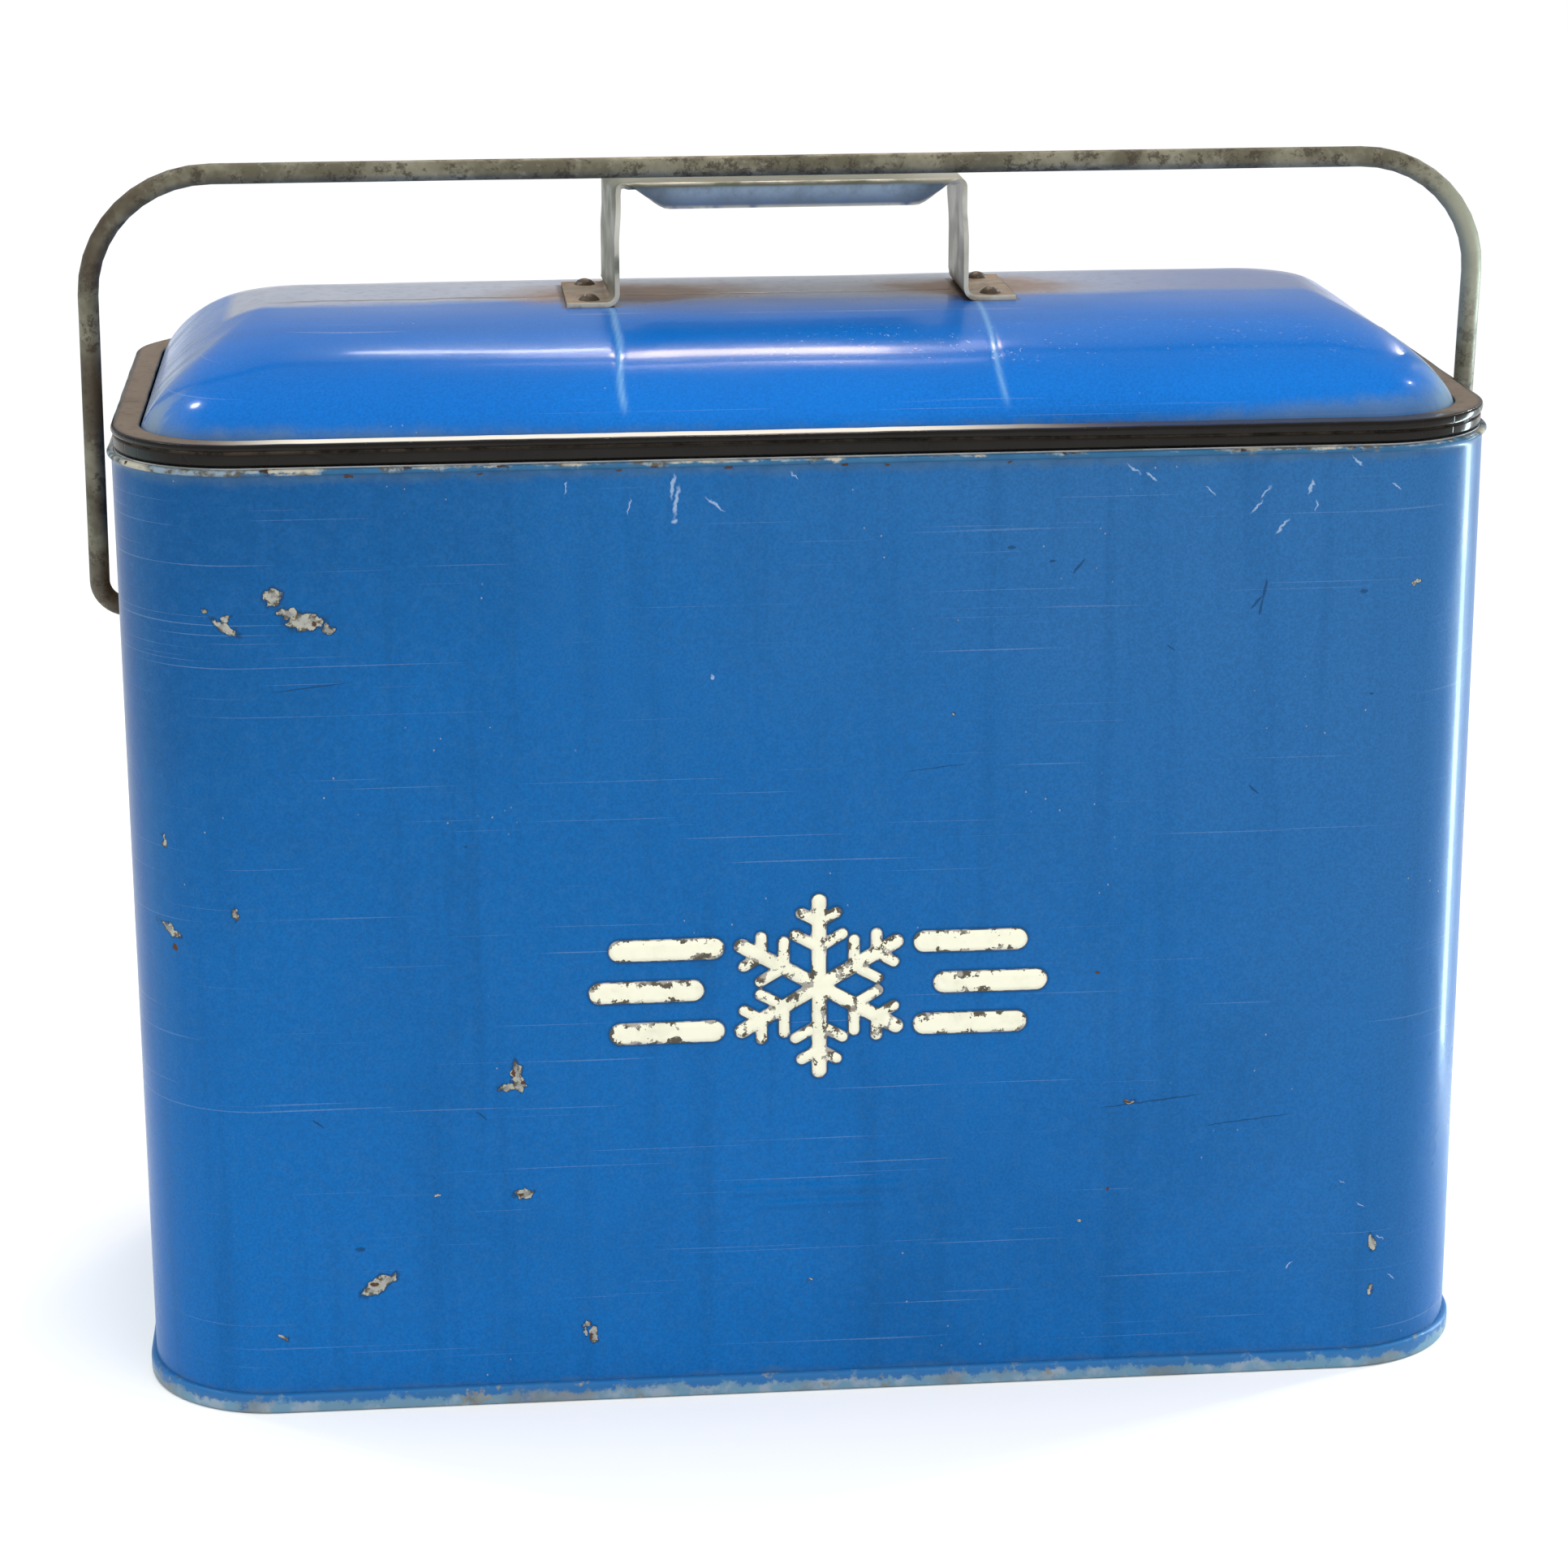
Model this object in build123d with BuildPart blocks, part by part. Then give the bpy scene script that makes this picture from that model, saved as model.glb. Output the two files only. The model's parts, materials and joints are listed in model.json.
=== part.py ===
"""Insulated steel picnic cooler: pressed chest, lift-off domed lid, swinging bail handle.

Millimetres. Origin on the ground at the middle of the footprint, +X along the chest towards
the drain and opener end, +Y towards the back, +Z up. The bail is drawn leaning forward, its
bar just in front of the lid handle.
"""
from math import cos, radians, sin, sqrt
import os

from build123d import *

os.makedirs("parts", exist_ok=True)

# --- driving dimensions -----------------------------------------------------------------
CHEST_LENGTH = 470.0
CHEST_DEPTH = 228.0
CORNER_RADIUS = 45.0
SHEET = 0.6
THIN_SHEET = 0.5
FIT_GAP = 0.3

RIM_LOW = 334.1
RIM_HIGH = 335.9
RIM_PROUD = 1.5
RIM_ROUND = 0.85
SEAM_HIGH = 7.0
SEAM_PROUD = 2.0
SEAM_HEM = 2.2
SEAM_ROUND = 1.4
PAN_LOW = 5.0
SHELL_LOW = 1.5

LINER_HALF_X = 213.0
LINER_HALF_Y = 92.0
LINER_CORNER = 30.0
LINER_FLOOR = 26.0
LINER_FLANGE_OUT = -0.8

GASKET_OUT = -0.1
GASKET_STEP = 0.6
GASKET_BEAD_LOW = 341.2
GASKET_LIP = 9.7
GASKET_WEB = 2.4
GASKET_LIP_THICK = 1.6
GASKET_ROUND = 1.2
LID_SHEET = 0.6
LID_FLANGE_LOW = 341.4
LID_FLANGE_CLEAR = 0.1
PLUG_LOW = 328.0
PLUG_CLEARANCE = 2.0
DOME_CROWN = 372.9
DOME_CORNER = 34.0
CROWN_CORNER = 22.0
DOME_END_RUN = 41.0
DOME_END_POWER = 1.45
CROWN_SHARE = 0.78
DOME_SECTIONS = 9

STRAP_SHEET = 1.6
STRAP_HALF_WIDTH = 25.0
STRAP_LEG_X = 61.3
STRAP_FOOT_X = 79.0
STRAP_TOP = 415.8
STRAP_BEND = 3.0
GRIP_DROP = 9.0
GRIP_TOP_X = 55.0
GRIP_LOW_X = 44.0
HANDLE_RIVET_X = 70.9
HANDLE_RIVET_Y = 17.5

PIVOT_Z = 264.3
ROD_RADIUS = 3.57
BAIL_HALF_WIDTH = 246.9
BAIL_LEG = 160.6
BAIL_CORNER = 46.0
BAIL_FOOT_BEND = 10.0
BAIL_LEAN = 10.8
PIVOT_CLEARANCE = 0.06
PIN_END_X = 227.5

TRAY_HALF_X = 205.0
TRAY_HALF_Y = 84.0
TRAY_CORNER = 24.0
TRAY_LOW = 247.0
TRAY_HIGH = 303.0
TRAY_RIM = 3.0

DRAIN_Z = 41.0
DRAIN_BORE = 6.5
DRAIN_RADIUS = 9.0
DRAIN_END_X = 245.6
DRAIN_CAP_RADIUS = 12.8
DRAIN_CAP_END_X = 249.8
OPENER_Z = 205.0
EMBOSS = 1.2
CUT_REACH = 5.0

# --- worked out from them ---------------------------------------------------------------
HALF_X = CHEST_LENGTH / 2
HALF_Y = CHEST_DEPTH / 2
LINER_TOP = RIM_HIGH + THIN_SHEET
LINER_BASE = LINER_FLOOR - THIN_SHEET
GASKET_LOW = LINER_TOP + FIT_GAP
LID_FLANGE_MID = LID_FLANGE_LOW + LID_SHEET
LID_FLANGE_HIGH = LID_FLANGE_MID + LID_SHEET
GASKET_HIGH = LID_FLANGE_HIGH + GASKET_LIP_THICK
LID_FLANGE_OUT = GASKET_OUT - GASKET_WEB - LID_FLANGE_CLEAR
DOME_OUT = GASKET_OUT - GASKET_LIP - FIT_GAP
INSIDE_SHELL = -SHEET - FIT_GAP
OUTSIDE_LINER = THIN_SHEET + FIT_GAP


def rounded_plan(spread, half_x=HALF_X, half_y=HALF_Y, corner=CORNER_RADIUS):
    """The chest's rounded rectangle, moved outward by spread all round."""
    RectangleRounded(2 * (half_x + spread), 2 * (half_y + spread), corner + spread)


def liner_plan(spread):
    """The liner's rounded rectangle, measured outward from its inside face."""
    rounded_plan(spread, LINER_HALF_X, LINER_HALF_Y, LINER_CORNER)


def slab(low, high, plan, spread):
    """A layer with a rounded plan, from one height to another."""
    with BuildPart() as layer:
        with BuildSketch(Plane.XY.offset(low)):
            plan(spread)
        extrude(amount=high - low)
    return layer.part


def ring(low, high, plan, outer, inner):
    """A closed band with a rounded plan, between two outward spreads."""
    with BuildPart() as band:
        with BuildSketch(Plane.XY.offset(low)):
            plan(outer)
        extrude(amount=high - low)
        with BuildSketch(Plane.XY.offset(low)):
            plan(inner)
        extrude(amount=high - low, mode=Mode.SUBTRACT)
    return band.part


def rolled_band(low, high, outer, inner, roundness):
    """A band like ring, its two outer edges rolled over."""
    with BuildPart() as band:
        with BuildSketch(Plane.XY.offset(low)):
            rounded_plan(outer)
        extrude(amount=high - low)
        flat_edges = band.edges().filter_by(Plane.XY)
        fillet(flat_edges, roundness)
        with BuildSketch(Plane.XY.offset(low)):
            rounded_plan(inner)
        extrude(amount=high - low, mode=Mode.SUBTRACT)
    return band.part


def end_plane(side, x, y=0.0, z=0.0):
    """A plane facing out of one end of the chest; side is +1 or -1."""
    return Plane(origin=(side * x, y, z), x_dir=(0, side, 0), z_dir=(side, 0, 0))


def end_holes(side, start_x, depth, places, radius):
    """Round cutters in one end of the chest, from start_x outward; places are (y, z)."""
    with BuildPart() as holes:
        with BuildSketch(end_plane(side, start_x)):
            with Locations(*places):
                Circle(radius)
        extrude(amount=depth)
    return holes.part


def above_and_below(z, rise):
    """The two places on the chest's end that are rise above and below z."""
    return (0, z + rise), (0, z - rise)


def make_rivet(shank_radius, head_radius, head_height, grip, tail_height):
    """A domed rivet standing on z = 0, its shank running down through the grip."""
    with BuildPart() as one:
        with BuildSketch(Plane.XZ):
            with BuildLine():
                top = (0, head_height)
                shoulder = (shank_radius * 0.9, head_height * 0.82)
                edge = (head_radius, 0)
                crown = ThreePointArc(top, shoulder, edge)
                Polyline(
                    crown @ 1,
                    (shank_radius, 0),
                    (shank_radius, -grip),
                    (head_radius * 0.8, -grip),
                    (head_radius * 0.7, -grip - tail_height),
                    (0, -grip - tail_height),
                    crown @ 0,
                )
            make_face()
        revolve(axis=Axis.Z)
    return one.part


def finish_part(part, name):
    """Label a finished piece and write it under the same name."""
    part.label = name
    export_step(part, f"parts/{name}.step")


# --- dome of the lid --------------------------------------------------------------------
def dome_section(share, inset):
    """Half length, half width and corner radius of the dome at a share of its rise."""
    end_run = DOME_END_RUN * (1 - (1 - share**DOME_END_POWER) ** (1 / DOME_END_POWER))
    side_run = CROWN_SHARE * (1 - sqrt(1 - share**2))
    half_x = HALF_X + DOME_OUT - end_run - inset
    half_y = (HALF_Y + DOME_OUT) * (1 - side_run) - inset
    corner = DOME_CORNER + (CROWN_CORNER - DOME_CORNER) * share - inset / 2
    return half_x, half_y, min(corner, half_y - 0.3)


def dome_solid(base, crown, inset):
    """The domed top as a solid, rising from base to crown, drawn in by inset."""
    with BuildPart() as dome:
        for step in range(DOME_SECTIONS + 1):
            share = sin(radians(90 * step / DOME_SECTIONS))
            half_x, half_y, corner = dome_section(share, inset)
            with BuildSketch(Plane.XY.offset(base + (crown - base) * share)):
                RectangleRounded(2 * half_x, 2 * half_y, corner)
        loft(ruled=True)
    return dome.part


# --- raised emblem: a snow crystal between three shortening bars on each side -------------
EMBLEM_Z = 151.0
CRYSTAL_ARM = 33.0
CRYSTAL_LINE = 4.4
TWIG_LINE = 3.17
TWIG_AT = (14.0, 23.0)
TWIG_LONG = (11.0, 8.5)
TWIG_ANGLE = 60.0
BAR_PITCH = 15.0
BAR_HEIGHT = 7.0
BAR_ROWS = ((-1, 33.0, 72.0), (0, 40.0, 79.0), (1, 33.0, 72.0))
NAME_BAR_Z = (76.5, 71.0)
NAME_BAR_SIZES = ((60.0, 3.4), (44.0, 2.4))
FRONT_PLANE = Plane(origin=(0, -HALF_Y, 0), x_dir=(1, 0, 0), z_dir=(0, -1, 0))


def crystal_arm():
    """One arm of the snow crystal, pointing up from the sketch origin."""
    with Locations((0, CRYSTAL_ARM / 2)):
        SlotOverall(CRYSTAL_ARM, CRYSTAL_LINE, rotation=90)
    for height, length in zip(TWIG_AT, TWIG_LONG):
        for lean in (-TWIG_ANGLE, TWIG_ANGLE):
            reach_x = -sin(radians(lean)) * length / 2
            reach_y = cos(radians(lean)) * length / 2
            with Locations((reach_x, height + reach_y)):
                SlotOverall(length, TWIG_LINE, rotation=90 + lean)


with BuildSketch(FRONT_PLANE) as emblem:
    with Locations((0, EMBLEM_Z)):
        with PolarLocations(0, 6, start_angle=0):
            crystal_arm()
    for row, start_x, end_x in BAR_ROWS:
        bar_z = EMBLEM_Z + row * BAR_PITCH
        for side in (-1, 1):
            with Locations((side * (start_x + end_x) / 2, bar_z)):
                SlotOverall(end_x - start_x, BAR_HEIGHT)
    for bar_z, (bar_long, bar_tall) in zip(NAME_BAR_Z, NAME_BAR_SIZES):
        with Locations((0, bar_z)):
            SlotOverall(bar_long, bar_tall)

# --- chest ------------------------------------------------------------------------------
PIVOT_PLATE = 1.5
PIVOT_PLATE_SIZE = (30.0, 50.0)
PIVOT_PLATE_CORNER = 9.0
PIVOT_RIVET_RISE = 18.0
PIVOT_HOLE_IN_SHELL = 4.6
SHANK_RADIUS = 1.9
OPENER_SHEET = 1.8
OPENER_SIZE = (34.0, 46.0)
OPENER_CORNER = 8.0
OPENER_SCREW_RISE = 17.0
DRAIN_SLACK = 0.15
PIVOT_RIVET_PLACES = above_and_below(PIVOT_Z, PIVOT_RIVET_RISE)
OPENER_SCREW_PLACES = above_and_below(OPENER_Z, OPENER_SCREW_RISE)

with BuildPart() as outer_shell:
    add(rolled_band(RIM_LOW, RIM_HIGH, RIM_PROUD, -SHEET, RIM_ROUND))
    add(ring(SHELL_LOW, RIM_LOW, rounded_plan, 0, -SHEET))
    extrude(emblem.sketch, amount=EMBOSS)
    cut_start = HALF_X - CUT_REACH
    for side in (-1, 1):
        pivot_hole = end_holes(side, cut_start, 2 * CUT_REACH, [(0, PIVOT_Z)], PIVOT_HOLE_IN_SHELL)
        rivet_holes = end_holes(side, cut_start, 2 * CUT_REACH, PIVOT_RIVET_PLACES, SHANK_RADIUS)
        add(pivot_hole, mode=Mode.SUBTRACT)
        add(rivet_holes, mode=Mode.SUBTRACT)
    drain_hole = end_holes(1, cut_start, 2 * CUT_REACH, [(0, DRAIN_Z)], DRAIN_RADIUS + DRAIN_SLACK)
    screw_holes = end_holes(1, cut_start, 2 * CUT_REACH, OPENER_SCREW_PLACES, SHANK_RADIUS)
    add(drain_hole, mode=Mode.SUBTRACT)
    add(screw_holes, mode=Mode.SUBTRACT)
finish_part(outer_shell.part, "outer_shell")

with BuildPart() as bottom_pan:
    add(rolled_band(0, SEAM_HIGH, SEAM_PROUD, -SEAM_HEM, SEAM_ROUND))
    add(slab(PAN_LOW, PAN_LOW + SHEET, rounded_plan, -SEAM_HEM))
    add(ring(SHELL_LOW, SEAM_HIGH, rounded_plan, 0, -SHEET), mode=Mode.SUBTRACT)
finish_part(bottom_pan.part, "bottom_pan")

TRAY_SUPPORT_SHEET = 1.2
TRAY_SUPPORT_LEDGE = 13.0
TRAY_SUPPORT_DROP = 20.0
TRAY_SUPPORT_LENGTH = 90.0
TRAY_SUPPORT_RIVET_Y = 32.0
SUPPORT_SHANK = 1.6
LEDGE_TOP = TRAY_LOW - FIT_GAP
SUPPORT_RIVET_Z = LEDGE_TOP - TRAY_SUPPORT_DROP / 2
SUPPORT_RIVET_PLACES = (
    (TRAY_SUPPORT_RIVET_Y, SUPPORT_RIVET_Z),
    (-TRAY_SUPPORT_RIVET_Y, SUPPORT_RIVET_Z),
)

with BuildPart() as inner_liner:
    add(slab(RIM_HIGH, LINER_TOP, rounded_plan, LINER_FLANGE_OUT))
    add(slab(LINER_BASE, RIM_HIGH, liner_plan, THIN_SHEET))
    add(slab(LINER_FLOOR, LINER_TOP, liner_plan, 0), mode=Mode.SUBTRACT)
    cut_start = LINER_HALF_X - CUT_REACH
    for side in (-1, 1):
        rivet_holes = end_holes(side, cut_start, 2 * CUT_REACH, SUPPORT_RIVET_PLACES, SUPPORT_SHANK)
        add(rivet_holes, mode=Mode.SUBTRACT)
    drain_hole = end_holes(1, cut_start, 2 * CUT_REACH, [(0, DRAIN_Z)], DRAIN_RADIUS + DRAIN_SLACK)
    add(drain_hole, mode=Mode.SUBTRACT)
finish_part(inner_liner.part, "inner_liner")

POCKET_RADIUS = 13.0
POCKET_DEPTH = 9.0
RIVET_POCKET = 5.5
DRAIN_POCKET = DRAIN_RADIUS + 1.0

with BuildPart() as insulation_wall:
    add(slab(LINER_BASE, RIM_HIGH - FIT_GAP, rounded_plan, INSIDE_SHELL))
    add(slab(LINER_BASE, RIM_HIGH, liner_plan, OUTSIDE_LINER), mode=Mode.SUBTRACT)
    pocket_start = HALF_X - SHEET - POCKET_DEPTH
    half_pocket = POCKET_DEPTH / 2
    for side in (-1, 1):
        pivot_pocket = end_holes(side, pocket_start, POCKET_DEPTH, [(0, PIVOT_Z)], POCKET_RADIUS)
        rivet_pockets = end_holes(side, pocket_start, POCKET_DEPTH, PIVOT_RIVET_PLACES, RIVET_POCKET)
        tail_pockets = end_holes(side, LINER_HALF_X, half_pocket, SUPPORT_RIVET_PLACES, RIVET_POCKET)
        for pocket in (pivot_pocket, rivet_pockets, tail_pockets):
            add(pocket, mode=Mode.SUBTRACT)
    screw_pockets = end_holes(1, pocket_start, POCKET_DEPTH, OPENER_SCREW_PLACES, RIVET_POCKET)
    add(screw_pockets, mode=Mode.SUBTRACT)
    drain_pocket = end_holes(1, LINER_HALF_X - CUT_REACH, HALF_X, [(0, DRAIN_Z)], DRAIN_POCKET)
    add(drain_pocket, mode=Mode.SUBTRACT)
finish_part(insulation_wall.part, "insulation_wall")

with BuildPart() as insulation_floor:
    floor_low = PAN_LOW + SHEET + FIT_GAP
    add(slab(floor_low, LINER_BASE - FIT_GAP, rounded_plan, -SEAM_HEM - FIT_GAP))
finish_part(insulation_floor.part, "insulation_floor")

for side, hand in ((-1, "left"), (1, "right")):
    with BuildPart() as pivot_plate:
        with BuildSketch(end_plane(side, HALF_X)):
            with Locations((0, PIVOT_Z)):
                RectangleRounded(*PIVOT_PLATE_SIZE, PIVOT_PLATE_CORNER)
                Circle(ROD_RADIUS + PIVOT_CLEARANCE, mode=Mode.SUBTRACT)
            with Locations(*PIVOT_RIVET_PLACES):
                Circle(SHANK_RADIUS, mode=Mode.SUBTRACT)
        extrude(amount=PIVOT_PLATE)
    finish_part(pivot_plate.part, f"pivot_plate_{hand}")

    wall_x = side * LINER_HALF_X
    plate_x = side * (LINER_HALF_X - TRAY_SUPPORT_SHEET)
    ledge_x = side * (LINER_HALF_X - TRAY_SUPPORT_LEDGE)
    with BuildPart() as tray_support:
        with BuildSketch(Plane.XZ.offset(-TRAY_SUPPORT_LENGTH / 2)):
            with BuildLine():
                Polyline(
                    (wall_x, LEDGE_TOP),
                    (ledge_x, LEDGE_TOP),
                    (ledge_x, LEDGE_TOP - TRAY_SUPPORT_SHEET),
                    (plate_x, LEDGE_TOP - TRAY_SUPPORT_SHEET),
                    (plate_x, LEDGE_TOP - TRAY_SUPPORT_DROP),
                    (wall_x, LEDGE_TOP - TRAY_SUPPORT_DROP),
                    close=True,
                )
            make_face()
        extrude(amount=TRAY_SUPPORT_LENGTH)
        cut_start = LINER_HALF_X - CUT_REACH
        rivet_holes = end_holes(side, cut_start, 2 * CUT_REACH, SUPPORT_RIVET_PLACES, SUPPORT_SHANK)
        add(rivet_holes, mode=Mode.SUBTRACT)
    finish_part(tray_support.part, f"tray_support_{hand}")

PIVOT_RIVET_HEAD = (4.0, 1.7)
SUPPORT_RIVET_HEAD = (3.0, 1.2)
RIVET_TAIL = 1.0

plate_rivet = make_rivet(SHANK_RADIUS, *PIVOT_RIVET_HEAD, PIVOT_PLATE + SHEET, RIVET_TAIL)
with BuildPart() as pivot_rivets:
    for side in (-1, 1):
        for rise in (-PIVOT_RIVET_RISE, PIVOT_RIVET_RISE):
            seat = Location(end_plane(side, HALF_X + PIVOT_PLATE, 0, PIVOT_Z + rise))
            add(plate_rivet.moved(seat))
finish_part(pivot_rivets.part, "pivot_rivets")

support_grip = TRAY_SUPPORT_SHEET + THIN_SHEET
support_rivet = make_rivet(SUPPORT_SHANK, *SUPPORT_RIVET_HEAD, support_grip, RIVET_TAIL)
with BuildPart() as tray_support_rivets:
    for side in (-1, 1):
        for across in (-TRAY_SUPPORT_RIVET_Y, TRAY_SUPPORT_RIVET_Y):
            face = end_plane(-side, -(LINER_HALF_X - TRAY_SUPPORT_SHEET), across, SUPPORT_RIVET_Z)
            add(support_rivet.moved(Location(face)))
finish_part(tray_support_rivets.part, "tray_support_rivets")

# --- bottle opener: a plate with a hooked lip that grips under a crown cap ----------------
LIP_REACH = 11.0
LIP_WIDTH = 24.0
LIP_HIGH = OPENER_Z + 4.5
LIP_LOW = OPENER_Z - 4.5
LIP_ROOT = OPENER_Z - 9.5
LIP_SLOPE = 3.0
LIP_BEND = 2.0
SCREW_HEAD = (3.6, 1.6)

with BuildPart() as bottle_opener:
    with BuildSketch(end_plane(1, HALF_X)):
        with Locations((0, OPENER_Z)):
            RectangleRounded(*OPENER_SIZE, OPENER_CORNER)
        with Locations(*OPENER_SCREW_PLACES):
            Circle(SHANK_RADIUS, mode=Mode.SUBTRACT)
    extrude(amount=OPENER_SHEET)
    with BuildSketch(Plane.XZ.offset(-LIP_WIDTH / 2)):
        with BuildLine():
            plate_x = HALF_X + OPENER_SHEET
            lip_x = plate_x + LIP_REACH
            Polyline(
                (plate_x, LIP_ROOT),
                (lip_x - LIP_BEND, LIP_ROOT + LIP_SLOPE),
                (lip_x, LIP_LOW),
                (lip_x, LIP_HIGH),
                (lip_x - OPENER_SHEET, LIP_HIGH),
                (lip_x - OPENER_SHEET, LIP_LOW + LIP_BEND / 2),
                (lip_x - 1.5 * OPENER_SHEET, LIP_LOW),
                (plate_x, LIP_ROOT + OPENER_SHEET),
                close=True,
            )
        make_face()
    extrude(amount=LIP_WIDTH)
finish_part(bottle_opener.part, "bottle_opener")

opener_screw = make_rivet(SHANK_RADIUS, *SCREW_HEAD, OPENER_SHEET + SHEET, RIVET_TAIL)
with BuildPart() as opener_screws:
    for rise in (-OPENER_SCREW_RISE, OPENER_SCREW_RISE):
        seat = Location(end_plane(1, HALF_X + OPENER_SHEET, 0, OPENER_Z + rise))
        add(opener_screw.moved(seat))
finish_part(opener_screws.part, "opener_screws")

# --- drain ------------------------------------------------------------------------------
DRAIN_FLANGE_RADIUS = 15.0
DRAIN_FLANGE_SHEET = 1.5
DRAIN_WASHER_RADIUS = 14.0
DRAIN_WASHER_SHEET = 1.5
DRAIN_NUT_ACROSS = 26.0
DRAIN_NUT_THICK = 3.6
DRAIN_GRIPS = 16
GRIP_GROOVE = 1.5
GRIP_GROOVE_OUT = 0.7
CAP_SKIRT_CLEARANCE = 0.35
CAP_DISC = 1.6
SEAL_GAP = 0.3

with BuildPart() as drain_tube:
    flange_plane = end_plane(1, LINER_HALF_X - DRAIN_FLANGE_SHEET, 0, DRAIN_Z)
    with BuildSketch(flange_plane):
        Circle(DRAIN_FLANGE_RADIUS)
    extrude(amount=DRAIN_FLANGE_SHEET)
    with BuildSketch(end_plane(1, LINER_HALF_X, 0, DRAIN_Z)):
        Circle(DRAIN_RADIUS)
    extrude(amount=DRAIN_END_X - LINER_HALF_X)
    with BuildSketch(flange_plane):
        Circle(DRAIN_BORE)
    extrude(amount=HALF_X, mode=Mode.SUBTRACT)
finish_part(drain_tube.part, "drain_tube")

with BuildPart() as drain_washer:
    with BuildSketch(end_plane(1, HALF_X, 0, DRAIN_Z)):
        Circle(DRAIN_WASHER_RADIUS)
        Circle(DRAIN_RADIUS + DRAIN_SLACK, mode=Mode.SUBTRACT)
    extrude(amount=DRAIN_WASHER_SHEET)
finish_part(drain_washer.part, "drain_washer")

with BuildPart() as drain_locknut:
    with BuildSketch(end_plane(1, HALF_X + DRAIN_WASHER_SHEET, 0, DRAIN_Z)):
        RegularPolygon(DRAIN_NUT_ACROSS / 2, 6, major_radius=False)
        Circle(DRAIN_RADIUS, mode=Mode.SUBTRACT)
    extrude(amount=DRAIN_NUT_THICK)
finish_part(drain_locknut.part, "drain_locknut")

CAP_LOW_X = HALF_X + DRAIN_WASHER_SHEET + DRAIN_NUT_THICK + FIT_GAP

with BuildPart() as drain_cap:
    with BuildSketch(end_plane(1, CAP_LOW_X, 0, DRAIN_Z)):
        Circle(DRAIN_CAP_RADIUS)
        with PolarLocations(DRAIN_CAP_RADIUS + GRIP_GROOVE_OUT, DRAIN_GRIPS):
            Circle(GRIP_GROOVE, mode=Mode.SUBTRACT)
    extrude(amount=DRAIN_CAP_END_X - CAP_LOW_X)
    with BuildSketch(end_plane(1, CAP_LOW_X, 0, DRAIN_Z)):
        Circle(DRAIN_RADIUS + CAP_SKIRT_CLEARANCE)
    extrude(amount=DRAIN_CAP_END_X - CAP_DISC - CAP_LOW_X, mode=Mode.SUBTRACT)
finish_part(drain_cap.part, "drain_cap")

with BuildPart() as drain_cap_seal:
    seal_x = DRAIN_END_X + SEAL_GAP
    with BuildSketch(end_plane(1, seal_x, 0, DRAIN_Z)):
        Circle(DRAIN_RADIUS)
    extrude(amount=DRAIN_CAP_END_X - CAP_DISC - FIT_GAP - seal_x)
finish_part(drain_cap_seal.part, "drain_cap_seal")

# --- lid --------------------------------------------------------------------------------
BACKING_SHEET = 1.5
BACKING_SIZE = (14.0, 44.0)
BACKING_CORNER = 2.0
BACKING_POCKET = 2.5
HANDLE_SHANK = 2.0
HANDLE_RIVET_HEAD = (3.8, 2.1)
HANDLE_RIVET_TAIL = 1.1
PLUG_OUT = -PLUG_CLEARANCE

with BuildPart() as lid_shell:
    add(slab(LID_FLANGE_MID, LID_FLANGE_HIGH, rounded_plan, LID_FLANGE_OUT))
    add(dome_solid(LID_FLANGE_MID, DOME_CROWN, 0))
    add(dome_solid(LID_FLANGE_MID, DOME_CROWN - LID_SHEET, LID_SHEET), mode=Mode.SUBTRACT)
    with BuildSketch(Plane.XY.offset(DOME_CROWN - CUT_REACH)):
        with GridLocations(2 * HANDLE_RIVET_X, 2 * HANDLE_RIVET_Y, 2, 2):
            Circle(HANDLE_SHANK)
    extrude(amount=2 * CUT_REACH, mode=Mode.SUBTRACT)
finish_part(lid_shell.part, "lid_shell")

with BuildPart() as lid_pan:
    plug_inside = PLUG_OUT - THIN_SHEET
    add(slab(LID_FLANGE_LOW, LID_FLANGE_MID, rounded_plan, LID_FLANGE_OUT))
    add(slab(PLUG_LOW, LID_FLANGE_MID, liner_plan, PLUG_OUT))
    add(slab(PLUG_LOW + THIN_SHEET, LID_FLANGE_MID, liner_plan, plug_inside), mode=Mode.SUBTRACT)
finish_part(lid_pan.part, "lid_pan")

with BuildPart() as lid_insulation:
    fill_low = PLUG_LOW + THIN_SHEET + FIT_GAP
    dome_gap = LID_SHEET + 2 * FIT_GAP
    add(slab(fill_low, LID_FLANGE_MID + FIT_GAP, liner_plan, plug_inside - FIT_GAP))
    add(dome_solid(LID_FLANGE_MID + FIT_GAP, DOME_CROWN - dome_gap, dome_gap))
    with BuildSketch(Plane.XY.offset(DOME_CROWN)):
        with Locations((-HANDLE_RIVET_X, 0), (HANDLE_RIVET_X, 0)):
            Rectangle(BACKING_SIZE[0] + BACKING_POCKET, BACKING_SIZE[1] + BACKING_POCKET)
    extrude(amount=-(LID_SHEET + BACKING_SHEET + BACKING_POCKET), mode=Mode.SUBTRACT)
finish_part(lid_insulation.part, "lid_insulation")

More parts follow.
